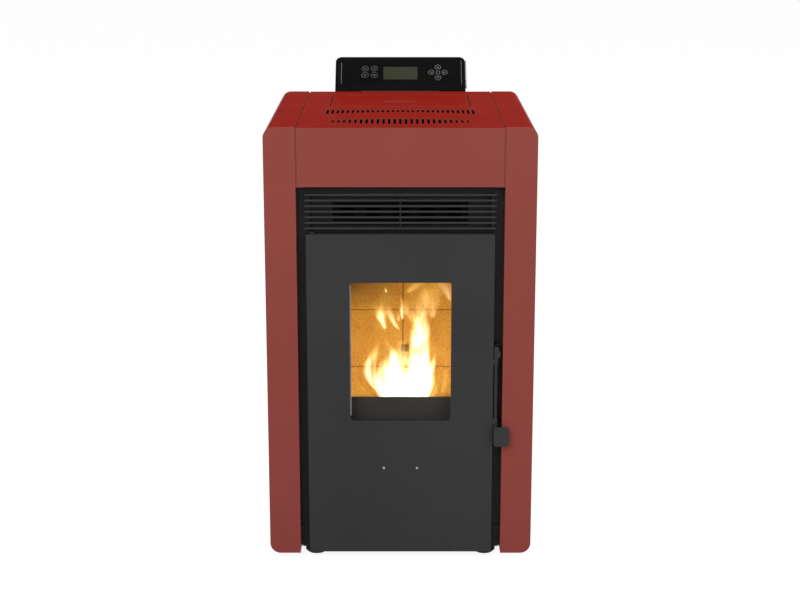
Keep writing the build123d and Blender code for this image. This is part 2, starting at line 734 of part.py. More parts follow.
def lid_hinge(centre):
    """One fixed hinge half: the pin, the middle knuckle and the leaf under the cover."""
    half = LID_CENTRE_KNUCKLE / 2 - GAP
    pin_half = LID_CENTRE_KNUCKLE / 2 + LID_KNUCKLE
    low = LID_PIVOT_Z - LID_KNUCKLE_RADIUS
    leaf = Pos(LID_PIVOT_Y, LID_PIVOT_Z) * Circle(LID_KNUCKLE_RADIUS)
    leaf += rect(LID_PIVOT_Y, LID_PIVOT_Y + 16, low, low + 2)
    leaf += rect(LID_PIVOT_Y + 6, LID_PIVOT_Y + 16, low, TOP - COVER_SHEET)
    hinge = side(leaf, centre - half, centre + half)
    pin = Pos(LID_PIVOT_Y, LID_PIVOT_Z) * Circle(LID_PIN_RADIUS)
    return hinge + side(pin, centre - pin_half, centre + pin_half)


def make_lid_seal():
    """The soft seal under the lid that closes the hopper rim."""
    high = TOP - COVER_SHEET
    outer = rect(-HOPPER_HALF - 5, HOPPER_HALF + 5, HOPPER_FRONT - 5, HOPPER_BACK + 5, 4)
    inner = rect(-HOPPER_HALF + 1, HOPPER_HALF - 1, HOPPER_FRONT + 1, HOPPER_BACK - 1, 3)
    return plan(outer - inner, HOPPER_TOP + GAP, high)


# ---------------------------------------------------------------- door

def make_door_panel():
    """The door skin: a pressed tray with the window, the hinge bores and the latch lugs."""
    outline = rect(-DOOR_HALF, DOOR_HALF, DOOR_BOTTOM, DOOR_TOP, 2)
    door = front(outline, DOOR_FRONT_Y, DOOR_BACK_Y)
    hollow = rect(
        -DOOR_HALF + DOOR_RETURN, DOOR_HALF - DOOR_RETURN,
        DOOR_BOTTOM + DOOR_PLATE, DOOR_TOP - DOOR_PLATE,
    )
    door -= front(hollow, DOOR_FRONT_Y + DOOR_PLATE, DOOR_BACK_Y + 1)
    window = rect(-WINDOW_HALF, WINDOW_HALF, WINDOW_LOW, WINDOW_HIGH)
    window = fillet(window.vertices().group_by(Axis.Y)[-1], WINDOW_TOP_RADIUS)
    window = fillet(window.vertices().group_by(Axis.Y)[0], WINDOW_RADIUS)
    door -= front(window, DOOR_FRONT_Y - 1, DOOR_BACK_Y)
    for low in (LUG_LOW_Z, LUG_HIGH_Z):
        lug = Pos(LATCH_X, LATCH_Y) * Circle(LUG_RADIUS)
        lug += rect(DOOR_HALF - 1, LATCH_X, LATCH_Y - LUG_RADIUS + 1, LATCH_Y + LUG_RADIUS)
        door += plan(lug, low, low + LUG_HEIGHT)
    bore = Pos(LATCH_X, LATCH_Y) * Circle(LATCH_ROD_RADIUS + RUNNING_FIT)
    door -= plan(bore, LATCH_LOW, LATCH_HIGH)
    pivot = Pos(HINGE_X, HINGE_Y) * Circle(HINGE_PIN_RADIUS + RUNNING_FIT)
    door -= plan(pivot, DOOR_BOTTOM - 1, DOOR_TOP + 1)
    return door


def make_door_inner_frame():
    """The stiffening frame inside the door, which clamps the glass and carries the rope."""
    outline = rect(
        -DOOR_HALF + DOOR_RETURN + GAP, DOOR_HALF - DOOR_RETURN - GAP,
        DOOR_BOTTOM + DOOR_PLATE + GAP, DOOR_TOP - DOOR_PLATE - GAP,
    )
    window = rect(
        -WINDOW_HALF - INNER_FRAME_LAP, WINDOW_HALF + INNER_FRAME_LAP,
        WINDOW_LOW - INNER_FRAME_LAP, WINDOW_HIGH + INNER_FRAME_LAP, WINDOW_RADIUS,
    )
    frame = front(outline - window, INNER_FRAME_Y, INNER_FRAME_Y + INNER_FRAME_SHEET)
    foot_y = DOOR_FRONT_Y + DOOR_PLATE
    lap = FRAME_RETURN + DOOR_PLATE
    for x in (-DOOR_HALF + 2 * lap, DOOR_HALF - 2 * lap):
        for z in (DOOR_BOTTOM + 3 * lap, WINDOW_LOW - 3 * lap, WINDOW_HIGH + 2 * lap):
            frame += span(x - 2, x + 2, foot_y, INNER_FRAME_Y, z, z + lap)
    return frame


def make_door_glass():
    """The ceramic glass behind the window."""
    lap = GLASS_OVERLAP
    outline = rect(-WINDOW_HALF - lap, WINDOW_HALF + lap, WINDOW_LOW - lap, WINDOW_HIGH + lap, 3)
    glass_y = DOOR_FRONT_Y + DOOR_PLATE + SEAL_THICK
    return front(outline, glass_y, glass_y + GLASS_THICK)


def make_door_seals():
    """The flat glass seal and the round rope that closes the door on the frame."""
    lap = GLASS_OVERLAP
    outer = rect(-WINDOW_HALF - lap, WINDOW_HALF + lap, WINDOW_LOW - lap, WINDOW_HIGH + lap, 3)
    cut = lap - SEAL_WIDTH
    inner = rect(-WINDOW_HALF - cut, WINDOW_HALF + cut, WINDOW_LOW - cut, WINDOW_HIGH + cut, 3)
    seal_y = DOOR_FRONT_Y + DOOR_PLATE
    flat = front(outer - inner, seal_y, seal_y + SEAL_THICK)
    rope_y = INNER_FRAME_Y + INNER_FRAME_SHEET + ROPE_RADIUS
    half = FIRE_HALF + ROPE_LAP
    loop = rect(-half, half, FIRE_LOW - ROPE_LAP, FIRE_HIGH + ROPE_LAP, ROPE_CORNER)
    plane = Plane(origin=(0, rope_y, 0), x_dir=(1, 0, 0), z_dir=(0, -1, 0))
    path = (plane * loop).wires()[0]
    start = Plane(origin=path @ 0, z_dir=path % 0)
    rope = sweep(start * Circle(ROPE_RADIUS), path=path)
    return [flat, rope]


def make_glass_clips():
    """Six clips that press the glass forward against its seal."""
    glass_back = DOOR_FRONT_Y + DOOR_PLATE + SEAL_THICK + GLASS_THICK
    edge = WINDOW_HALF + INNER_FRAME_LAP
    half = GLASS_CLIP / 2
    lap = INNER_FRAME_LAP / 2
    clips = []
    for z in (WINDOW_LOW + GLASS_CLIP_INSET, WINDOW_HIGH - GLASS_CLIP_INSET):
        clips += both_sides(span(edge - lap, edge + half, glass_back, INNER_FRAME_Y, z - half, z + half))
    for z in (WINDOW_LOW - INNER_FRAME_LAP, WINDOW_HIGH + INNER_FRAME_LAP):
        clips.append(span(-half, half, glass_back, INNER_FRAME_Y, z - lap, z + lap))
    return clips


def make_door_studs():
    """Two small domed studs on the door skin."""
    studs = []
    for x in (-STUD_X, STUD_X):
        ball = Sphere(STUD_RADIUS * 1.2)
        ball = split(ball, Plane.XY.offset(STUD_RADIUS * 0.66), keep=Keep.TOP)
        seat = Pos(x, DOOR_FRONT_Y + STUD_RADIUS * 0.66, STUD_Z)
        studs.append(seat * Rot(90, 0, 0) * ball)
    return studs


def make_hinge_brackets():
    """The two door hinge brackets with their pins, and the two fixed lid hinge halves."""
    x0 = HINGE_X - HINGE_TAB / 2
    x1 = HINGE_X + HINGE_TAB / 2
    front_y = HINGE_Y - HINGE_TAB / 2
    pin = Pos(HINGE_X, HINGE_Y) * Circle(HINGE_PIN_RADIUS)
    tab = rect(x0, x1, front_y, FRAME_FACE_Y, 2)
    tab += rect(x0, x1, HINGE_Y, FRAME_FACE_Y)
    low = DOOR_TOP + 1
    upper = plan(tab, low, low + HINGE_SHEET)
    upper += span(x0, x1, FRAME_FACE_Y - HINGE_LEAF_SHEET, FRAME_FACE_Y, low, low + HINGE_LEAF)
    upper += plan(pin, DOOR_TOP - HINGE_PIN_REACH, low + HINGE_SHEET)
    high = DOOR_BOTTOM - 0.5
    leaf_y = FRAME_BACK_Y + HINGE_LEAF_SHEET
    foot = rect(x0, x1, front_y, leaf_y, 2) + rect(x0, x1, HINGE_Y, leaf_y)
    lower = plan(foot, high - HINGE_SHEET, high)
    lower += span(x0, x1, FRAME_BACK_Y, leaf_y, high - HINGE_SHEET, FRAME_BOTTOM + HINGE_LEAF)
    lower += plan(pin, high - HINGE_SHEET, DOOR_BOTTOM + HINGE_PIN_REACH)
    return [upper, lower, lid_hinge(-LID_HINGE_X), lid_hinge(LID_HINGE_X)]


# ---------------------------------------------------------------- latch

def make_latch_rod():
    """The upright latch rod with its nose and the cam tail at the upper end."""
    rod = plan(Pos(LATCH_X, LATCH_Y) * Circle(LATCH_ROD_RADIUS), LATCH_LOW, LATCH_HIGH)
    nose_low = LATCH_HIGH - NOSE_HEIGHT
    inner = LATCH_X - LATCH_ROD_RADIUS
    outer = LATCH_X + NOSE_REACH
    nose = make_face(Polyline(
        (inner, nose_low), (outer - 3, nose_low), (outer, nose_low + 7),
        (LATCH_X + LATCH_ROD_RADIUS, LATCH_HIGH), (inner, LATCH_HIGH), close=True,
    ))
    rod += front(nose, LATCH_Y - NOSE_THICK / 2, LATCH_Y + NOSE_THICK / 2)
    tail = Pos(TAIL_REACH / 2, 0) * Rectangle(TAIL_REACH, TAIL_WIDTH)
    tail = Pos(LATCH_X, LATCH_Y) * Rot(0, 0, TAIL_ANGLE) * tail
    rod += plan(tail, nose_low + 2, LATCH_HIGH - 2)
    return rod


def make_latch_grip():
    """The flat grip in front of the cheek, its web and the hub round the rod."""
    plate = rect(GRIP_INNER_X, GRIP_OUTER_X, LATCH_LOW, LATCH_LOW + GRIP_HEIGHT)
    plate = fillet(plate.vertices().group_by(Axis.X)[-1], GRIP_CORNER)
    grip = front(plate, GRIP_FACE_Y, GRIP_FACE_Y + GRIP_THICK)
    neck = Pos(LATCH_X, LATCH_Y) * Circle(GRIP_HUB_RADIUS)
    web_x = LATCH_X + LATCH_ROD_RADIUS
    neck += rect(web_x - GRIP_WEB, web_x, GRIP_FACE_Y + 1, LATCH_Y)
    neck -= Pos(LATCH_X, LATCH_Y) * Circle(LATCH_ROD_RADIUS)
    return grip + plan(neck, LATCH_LOW, LATCH_LOW + GRIP_HEIGHT)


def make_latch_keeper():
    """The bracket on the frame, with two plates and the pin that the cam tail presses on."""
    x0 = LATCH_X - KEEPER_INSET
    x1 = FRAME_HALF
    low = LATCH_HIGH - NOSE_HEIGHT
    keeper_y = FRAME_FACE_Y - KEEPER_REACH
    keeper = span(x0, x1, keeper_y, FRAME_FACE_Y, low - KEEPER_SHEET, LATCH_HIGH + KEEPER_SHEET)
    keeper -= span(x0 - 1, x1 + 1, keeper_y - 1, FRAME_FACE_Y - KEEPER_SHEET, low, LATCH_HIGH)
    pin_y = LATCH_Y + TAIL_REACH + KEEPER_PIN_RADIUS + 1.0
    keeper += plan(Pos(LATCH_X, pin_y) * Circle(KEEPER_PIN_RADIUS), low, LATCH_HIGH)
    return keeper


# ---------------------------------------------------------------- fire chamber

def tube_places():
    """The places of the heat exchanger tubes along x."""
    outermost = FIRE_HALF - TUBE_MARGIN - TUBE_RADIUS
    return [outermost * (2 * i / (TUBE_COUNT - 1) - 1) for i in range(TUBE_COUNT)]


def make_firebox():
    """The welded fire chamber with its shelf, the baffle ledges and the tube holes."""
    box = span(-FIRE_OUT, FIRE_OUT, FRAME_BACK_Y, FIRE_REAR, FIRE_LOW - FIRE_WALL, FIRE_ROOF + FIRE_WALL)
    box -= span(-FIRE_HALF, FIRE_HALF, FRAME_BACK_Y + FIRE_WALL, FIRE_BACK, FIRE_LOW, FIRE_ROOF)
    box -= span(-FIRE_HALF, FIRE_HALF, FRAME_BACK_Y - 1, FIRE_BACK, FIRE_LOW, FIRE_HIGH)
    shelf = span(-FIRE_HALF - 1, FIRE_HALF + 1, LINER_FRONT_Y, FIRE_BACK + 1, SHELF_Z - FIRE_WALL, SHELF_Z)
    shelf -= span(
        -POT_HALF, POT_HALF, POT_Y - POT_HALF, POT_Y + POT_HALF, SHELF_Z - 2 * FIRE_WALL, SHELF_Z + 1
    )
    box += shelf
    ledge = span(FIRE_HALF - 10, FIRE_HALF + 1, BAFFLE_FRONT_Y, FIRE_BACK, FIRE_HIGH - FIRE_WALL, FIRE_HIGH)
    for piece in both_sides(ledge):
        box += piece
    holes = [Pos(x, TUBE_Z) * Circle(TUBE_RADIUS + RUNNING_FIT) for x in tube_places()]
    box -= front(Sketch() + holes, FRAME_BACK_Y - 1, FIRE_REAR + 1)
    mouth = CHUTE_HALF - CHUTE_SHEET
    box -= span(-mouth, mouth, FIRE_BACK - 1, FIRE_REAR + 1, CHUTE_LOW_Z, CHUTE_HIGH_Z - FIRE_WALL)
    box -= front(Pos(0, INTAKE_Z) * Circle(INTAKE_RADIUS - INTAKE_WALL), FIRE_BACK - 1, FIRE_REAR + 1)
    box -= front(Pos(0, IGNITER_Z) * Circle(IGNITER_RADIUS + RUNNING_FIT), FIRE_BACK - 1, FIRE_REAR + 1)
    box -= duct_mouth()
    return box


def make_fire_bricks():
    """Back bricks in two columns and three courses, and one liner on each side."""
    pieces = []
    count = int((BRICK_TOP - SHELF_Z) / BRICK_COURSE) + 1
    courses = [BRICK_TOP - BRICK_COURSE * i for i in range(count)] + [SHELF_Z]
    columns = (
        (-FIRE_HALF + GAP, BRICK_SPLIT_X - BRICK_JOINT / 2),
        (BRICK_SPLIT_X + BRICK_JOINT / 2, FIRE_HALF - GAP),
    )
    mouth = CHUTE_HALF - CHUTE_SHEET
    igniter = Pos(0, IGNITER_Z) * Circle(IGNITER_RADIUS + 1)
    for high, low in zip(courses, courses[1:]):
        base = low if low == SHELF_Z else low + BRICK_JOINT
        for x0, x1 in columns:
            brick = front(rect(x0, x1, base, high), BRICK_FACE_Y, FIRE_BACK)
            brick = chamfer(brick.edges().group_by(Axis.Y)[0], 1.2)
            brick -= span(-mouth, mouth, BRICK_FACE_Y - 1, FIRE_BACK + 1, CHUTE_LOW_Z, BRICK_TOP + 1)
            brick -= front(igniter, BRICK_FACE_Y - 1, FIRE_BACK + 1)
            pieces.append(brick)
    liner = span(
        FIRE_HALF - LINER_THICK, FIRE_HALF - GAP,
        LINER_FRONT_Y, BRICK_FACE_Y - GAP, SHELF_Z, BRICK_TOP,
    )
    liner = chamfer(liner.edges().filter_by(Axis.Z).group_by(Axis.Y)[0].group_by(Axis.X)[0], 8)
    return pieces + both_sides(liner)


def make_baffle_plate():
    """The heat-resisting plate that lies on the ledges over the fire."""
    plate = span(
        -FIRE_HALF + GAP, FIRE_HALF - GAP, BAFFLE_FRONT_Y, FIRE_BACK - GAP,
        FIRE_HIGH, FIRE_HIGH + BAFFLE_THICK,
    )
    return chamfer(plate.edges().filter_by(Axis.X).group_by(Axis.Y)[0], 3)


def make_exchanger_tubes():
    """Five air tubes that cross the smoke chamber and open behind the grille."""
    ring = Circle(TUBE_RADIUS) - Circle(TUBE_RADIUS - TUBE_WALL)
    return [front(Pos(x, TUBE_Z) * ring, FRAME_BACK_Y, FIRE_REAR + 6) for x in tube_places()]


def make_burn_pot_cradle():
    """The cast cradle: a tall front lip and a plate with the pot's opening."""
    back = BRICK_FACE_Y - GAP
    plate_top = SHELF_Z + CRADLE_PLATE
    lip_back = CRADLE_FRONT_Y + CRADLE_PLATE
    cradle = span(-CRADLE_HALF, CRADLE_HALF, CRADLE_FRONT_Y, back, SHELF_Z, plate_top)
    cradle += span(-CRADLE_HALF, CRADLE_HALF, CRADLE_FRONT_Y, lip_back, SHELF_Z, CRADLE_LIP_Z)
    hole = POT_HALF + 0.5
    cradle -= span(-hole, hole, POT_Y - hole, POT_Y + hole, SHELF_Z - 1, plate_top + 1)
    return cradle


def pot_section(half, z):
    """One level section of the burn pot."""
    corner = min(POT_CORNER, half / 3)
    return Pos(0, POT_Y, z) * RectangleRounded(2 * half, 2 * half, corner)


def make_burn_pot():
    """The cast burn pot: tapered walls, a rim that rests on the cradle, a holed floor."""
    low_half = POT_HALF - POT_TAPER
    rim_size = 2 * (POT_HALF + POT_RIM)
    pot = loft([pot_section(low_half, POT_LOW), pot_section(POT_HALF, POT_TOP)], ruled=True)
    rim = Pos(0, POT_Y) * RectangleRounded(rim_size, rim_size, POT_CORNER)
    pot += plan(rim, POT_SEAT, POT_SEAT + CRADLE_PLATE)
    pot -= loft([
        pot_section(low_half - POT_WALL, POT_LOW + POT_WALL),
        pot_section(POT_HALF - POT_WALL, POT_TOP + 0.01),
    ], ruled=True)
    middle = (POT_HOLES - 1) / 2
    holes = []
    for i in range(POT_HOLES):
        for j in range(POT_HOLES):
            place = Pos((i - middle) * POT_HOLE_PITCH, POT_Y + (j - middle) * POT_HOLE_PITCH)
            holes.append(place * Circle(POT_HOLE_RADIUS))
    pot -= plan(Sketch() + holes, POT_LOW - 1, POT_LOW + POT_WALL + 1)
    return pot


def make_ash_drawer():
    """The folded ash drawer with its bar handle."""
    low = FIRE_LOW + GAP
    drawer = span(-DRAWER_HALF, DRAWER_HALF, DRAWER_FRONT_Y, DRAWER_BACK_Y, low, DRAWER_HIGH)
    drawer -= span(
        -DRAWER_HALF + DRAWER_SHEET, DRAWER_HALF - DRAWER_SHEET,
        DRAWER_FRONT_Y + DRAWER_SHEET, DRAWER_BACK_Y - DRAWER_SHEET,
        low + DRAWER_SHEET, DRAWER_HIGH + 1,
    )
    bar_z = (FIRE_LOW + DRAWER_HIGH) / 2
    bar_y = DRAWER_FRONT_Y - HANDLE_REACH + HANDLE_RADIUS
    bar = side(Pos(bar_y, bar_z) * Circle(HANDLE_RADIUS), -HANDLE_HALF, HANDLE_HALF)
    for x in (-HANDLE_HALF + HANDLE_RADIUS, HANDLE_HALF - HANDLE_RADIUS):
        bar += front(Pos(x, bar_z) * Circle(HANDLE_RADIUS), bar_y, DRAWER_FRONT_Y + 1)
    return drawer + bar


# ---------------------------------------------------------------- pellet feed

def hopper_solid(inset, top, end):
    """The hopper's outer or inner form: a straight part, a taper and a throat."""
    half = HOPPER_HALF - inset
    mouth = rect(-half, half, HOPPER_FRONT + inset, HOPPER_BACK - inset)
    half = THROAT_HALF - inset
    throat = rect(-half, half, THROAT_FRONT + inset, THROAT_BACK - inset)
    solid = plan(mouth, HOPPER_BEND_Z, top)
    upper = Plane.XY.offset(HOPPER_BEND_Z) * mouth
    lower = Plane.XY.offset(THROAT_Z) * throat
    solid += loft([lower, upper], ruled=True)
    return solid + plan(throat, end, THROAT_Z)


def feed_cylinder(radius, start, end):
    """A round bar along the axis of the pellet feed."""
    return extrude(FEED_PLANE.offset(start) * Circle(radius), amount=end - start)


def make_hopper():
    """The pellet hopper with its rim, two hangers and the throat fitted to the feed tube."""
    hopper = hopper_solid(0, HOPPER_TOP, THROAT_END_Z)
    rim = rect(
        -HOPPER_HALF - HOPPER_RIM, HOPPER_HALF + HOPPER_RIM,
        HOPPER_FRONT - HOPPER_RIM, HOPPER_BACK + HOPPER_RIM,
    )
    hopper += plan(rim, HOPPER_TOP - HOPPER_SHEET, HOPPER_TOP)
    hanger = span(
        HOPPER_HALF - 1, CHASSIS_IN - GAP,
        HOPPER_FRONT + 50, HOPPER_FRONT + 50 + HANGER_DEPTH,
        HANGER_Z, HANGER_Z + HANGER_SHEET,
    )
    for piece in both_sides(hanger):
        hopper += piece
    hopper -= hopper_solid(HOPPER_SHEET, HOPPER_TOP + 1, THROAT_END_Z - 1)
    hopper -= FEED_PLANE * Pos(0, -FEED_RADIUS, 0) * Box(60, 2 * FEED_RADIUS, 2 * FEED_LENGTH)
    return hopper - feed_cylinder(FEED_RADIUS + GAP, -60, FEED_LENGTH)


def make_feed_tube():
    """The inclined feed tube with the inlet window under the hopper and a closed lower end."""
    tube = feed_cylinder(FEED_RADIUS, 0, FEED_LENGTH)
    tube -= feed_cylinder(FEED_RADIUS - FEED_WALL, FEED_WALL, FEED_LENGTH + 1)
    tube -= feed_cylinder(FEED_SHAFT + RUNNING_FIT, -1, FEED_WALL + 1)
    half = THROAT_HALF - HOPPER_SHEET
    window = span(
        -half, half, THROAT_FRONT + HOPPER_SHEET, THROAT_BACK - HOPPER_SHEET - 4,
        FEED_LOW_Z + 10, THROAT_Z,
    )
    return tube - window


def make_auger_screw():
    """The auger: a helical flight on its core, with the drive shaft at the lower end."""
    mean = (AUGER_RADIUS + AUGER_CORE) / 2
    path = Helix(pitch=AUGER_PITCH, height=AUGER_PITCH * AUGER_TURNS, radius=mean)
    depth = AUGER_RADIUS - AUGER_CORE + 1
    section = Plane(origin=path @ 0, x_dir=(1, 0, 0), z_dir=path % 0) * Rectangle(depth, AUGER_FLIGHT)
    flight = sweep(section, path=path, is_frenet=True)
    length = AUGER_PITCH * AUGER_TURNS
    core = Cylinder(AUGER_CORE, length + 6, align=(Align.CENTER, Align.CENTER, Align.MIN))
    screw = flight + Pos(0, 0, -3) * core
    low = -AUGER_START - GEAR_LENGTH / 2
    shaft = Cylinder(FEED_SHAFT, -low, align=(Align.CENTER, Align.CENTER, Align.MIN))
    screw += Pos(0, 0, low) * shaft
    return FEED_PLANE * Pos(0, 0, AUGER_START) * screw


def make_feed_gearmotor():
    """The gear case on the lower end of the feed tube, with its motor."""
    case = Pos(0, -6, -GEAR_LENGTH / 2) * Box(GEAR_WIDTH, GEAR_HEIGHT, GEAR_LENGTH)
    case = fillet(case.edges().filter_by(Axis.Z), 6)
    motor = Pos(0, -6, -GEAR_LENGTH - MOTOR_LENGTH / 2) * Cylinder(MOTOR_RADIUS, MOTOR_LENGTH)
    case += motor
    case -= Pos(0, 0, -GEAR_LENGTH / 2) * Cylinder(FEED_SHAFT + RUNNING_FIT, GEAR_LENGTH + 1)
    return FEED_PLANE * case


def make_drop_chute():
    """The sheet chute from the head of the feed tube down into the fire chamber."""
    up = (cos(radians(90 - FEED_RISE)), sin(radians(90 - FEED_RISE)))
    high = FEED_RADIUS + 4
    low = FEED_RADIUS + 2
    corner_high = (FEED_HIGH_Y + high * up[0], FEED_HIGH_Z + high * up[1])
    corner_low = (FEED_HIGH_Y - low * up[0], FEED_HIGH_Z - low * up[1])
    outline = Polyline(
        (FIRE_REAR, CHUTE_LOW_Z - CHUTE_SHEET), (FIRE_REAR, CHUTE_HIGH_Z),
        (FEED_HIGH_Y - 2, CHUTE_HIGH_Z), corner_high, corner_low, close=True,
    )
    face = make_face(outline)
    hollow = offset(face, amount=-CHUTE_SHEET)
    inside = CHUTE_HALF - CHUTE_SHEET
    chute = side(face, -CHUTE_HALF, CHUTE_HALF) - side(hollow, -inside, inside)
    chute -= span(
        -inside, inside, FIRE_REAR - 1, FIRE_REAR + 2 * CHUTE_SHEET,
        CHUTE_LOW_Z + 1, CHUTE_HIGH_Z - CHUTE_SHEET,
    )
    chute -= feed_cylinder(FEED_RADIUS - FEED_WALL, FEED_LENGTH - 4, FEED_LENGTH + 4)
    return chute


# ---------------------------------------------------------------- fans, flue and air

def scroll_outline(tongue, reach, length, inset):
    """A fan scroll round the origin: a growing spiral with an outlet along the first axis."""
    start = 12.0
    sweep_angle = 270.0 + start
    points = []
    for i in range(13):
        share = i / 12
        angle = radians(start - sweep_angle * share)
        radius = tongue + (reach - tongue) * share - inset
        points.append((radius * cos(angle), radius * sin(angle)))
    spiral = Spline(*points)
    low = points[0]
    high = points[-1]
    edge = Polyline(high, (length, high[1]), (length, low[1]), low)
    return make_face([spiral, edge])


def make_smoke_fan_housing():
    """The smoke fan scroll with its feet and its outlet flange."""
    length = FLUE_START_Y - FAN_Y
    place = Pos(FAN_Y, SMOKE_FAN_Z)
    outer = place * scroll_outline(SMOKE_TONGUE, SMOKE_SCROLL, length, 0)
    inner = place * scroll_outline(SMOKE_TONGUE, SMOKE_SCROLL, length + 1, FAN_SHEET)
    scroll = side(outer, SMOKE_X0, SMOKE_X1)
    flange = FLUE_RADIUS + FAN_FLANGE
    flange = rect(FLUE_X - flange, FLUE_X + flange, FLUE_Z - flange, FLUE_Z + flange, 2 * FAN_FLANGE)
    scroll += front(flange, FLUE_START_Y - FAN_FOOT, FLUE_START_Y)
    foot_y = SMOKE_INLET
    foot_top = SMOKE_FAN_Z - SMOKE_TONGUE
    for x in (SMOKE_X0 + SMOKE_FOOT_INSET, SMOKE_X1 - SMOKE_FOOT_INSET - FAN_FOOT):
        scroll += span(x, x + FAN_FOOT, FAN_Y - foot_y, FAN_Y + foot_y, TRAY_FLOOR, foot_top)
    scroll -= side(inner, SMOKE_X0 + FAN_SHEET, SMOKE_X1 - FAN_SHEET)
    scroll -= side(place * Circle(SMOKE_INLET), SMOKE_X0 - 1, SMOKE_X0 + FAN_SHEET + 1)
    scroll -= side(place * Circle(FAN_SHAFT + 1), SMOKE_X1 - FAN_SHEET - 1, SMOKE_X1 + 1)
    return scroll


def duct_mouth():
    """The opening through which the smoke leaves the fire chamber."""
    low = FIRE_LOW + DUCT_MOUTH_INSET
    high = DUCT_HIGH_Z - DUCT_MOUTH_INSET
    return span(DUCT_MOUTH_X0, DUCT_MOUTH_X1, FIRE_BACK - 1, FIRE_REAR + FAN_SHEET + 1, low, high)


def make_smoke_duct():
    """The sheet box behind the fire chamber, and its rear cover with the leg to the smoke fan."""
    sheet = FAN_SHEET
    turn_y = FAN_Y - SMOKE_SCROLL - 4
    cover_y = turn_y - sheet
    leg_x = SMOKE_X0 - GAP
    box = plan(rect(DUCT_X0, SMOKE_X1, FIRE_REAR, cover_y - GAP), DUCT_LOW_Z, DUCT_HIGH_Z)
    across = rect(DUCT_X0 + sheet, SMOKE_X1 - sheet, FIRE_REAR + sheet, cover_y)
    box -= plan(across, DUCT_LOW_Z + sheet, DUCT_HIGH_Z - sheet)
    box -= duct_mouth()
    leg = plan(rect(DUCT_X0, SMOKE_X1, cover_y, turn_y), DUCT_LOW_Z, DUCT_HIGH_Z)
    leg += plan(rect(DUCT_X0, leg_x, turn_y, DUCT_END_Y), DUCT_LOW_Z, DUCT_LEG_Z)
    along = rect(DUCT_X0 + sheet, leg_x - sheet, cover_y - 1, DUCT_END_Y - sheet)
    leg -= plan(along, DUCT_LOW_Z + sheet, DUCT_LEG_Z - sheet)
    inlet = Pos(FAN_Y, SMOKE_FAN_Z) * Circle(SMOKE_INLET)
    return [box, leg - side(inlet, leg_x - sheet - 1, leg_x + 1)]


def make_smoke_fan_wheel():
    """The smoke fan wheel: a back disc, radial blades, a hub and the motor shaft."""
    x0 = SMOKE_X0 + FAN_SHEET + 5
    x1 = x0 + SMOKE_BLADE_WIDTH
    wheel = side(Circle(SMOKE_WHEEL), x1, x1 + 2)
    wheel += side(Circle(10), x0 + 8, x1 + 8)
    blade = Pos((SMOKE_WHEEL + 8) / 2, 0) * Rectangle(SMOKE_WHEEL - 10, BLADE_SHEET)
    for i in range(SMOKE_BLADES):
        turned = Rot(0, 0, 360 * i / SMOKE_BLADES) * Pos(0, 3) * Rot(0, 0, -12) * blade
        wheel += side(turned, x0, x1)
    wheel += side(Circle(FAN_SHAFT), x1, SMOKE_X1 + SMOKE_MOTOR_LENGTH / 2)
    return Pos(0, FAN_Y, SMOKE_FAN_Z) * wheel


def fan_motor(x0, length):
    """A round fan motor with cooling ribs and a shaft bore, starting at x0."""
    motor = side(Circle(FAN_MOTOR_RADIUS - 3), x0, x0 + length)
    motor += side(Circle(FAN_MOTOR_RADIUS), x0, x0 + 4)
    for i in range(4):
        rib = x0 + 10 + 7 * i
        motor += side(Circle(FAN_MOTOR_RADIUS), rib, rib + 2.5)
    return motor - side(Circle(FAN_SHAFT + RUNNING_FIT), x0 - 1, x0 + length * 0.6)


def make_fan_motors():
    """The motor of the smoke fan and the motor of the room air fan."""
    smoke = Pos(0, FAN_Y, SMOKE_FAN_Z) * fan_motor(SMOKE_X1, SMOKE_MOTOR_LENGTH)
    room = Pos(0, FAN_Y, CONV_FAN_Z) * fan_motor(CONV_X1, CONV_MOTOR_LENGTH)
    return [smoke, room]


def beaded(radius, wall, bead):
    """The ring-shaped section of a pipe, thicker outside by the height of its bead."""
    return Circle(radius + bead) - Circle(radius - wall)


def make_flue_spigot():
    """The round flue pipe from the fan outlet out through the rear panel, with a bead."""
    pipe = front(beaded(FLUE_RADIUS, FLUE_WALL, 0), FLUE_START_Y, FLUE_END_Y)
    pipe += front(beaded(FLUE_RADIUS, FLUE_WALL, BEAD_HEIGHT), BEAD_Y, BEAD_Y + BEAD_WIDTH)
    return Pos(FLUE_X, 0, FLUE_Z) * pipe


def make_air_intake():
    """The combustion air pipe from the fire chamber out through the rear panel, with a bead."""
    pipe = front(beaded(INTAKE_RADIUS, INTAKE_WALL, 0), FIRE_REAR, INTAKE_END_Y)
    pipe += front(beaded(INTAKE_RADIUS, INTAKE_WALL, BEAD_HEIGHT), BEAD_Y, BEAD_Y + BEAD_WIDTH)
    return Pos(0, 0, INTAKE_Z) * pipe


def make_igniter():
    """The ignition cartridge behind the burn pot, with its clamp collar."""
    tip = POT_Y + POT_HALF + POT_RIM
    igniter = front(Pos(0, IGNITER_Z) * Circle(IGNITER_RADIUS), tip, FIRE_REAR + 30)
    return igniter + front(Pos(0, IGNITER_Z) * RegularPolygon(9, 6), FIRE_REAR, FIRE_REAR + 7)


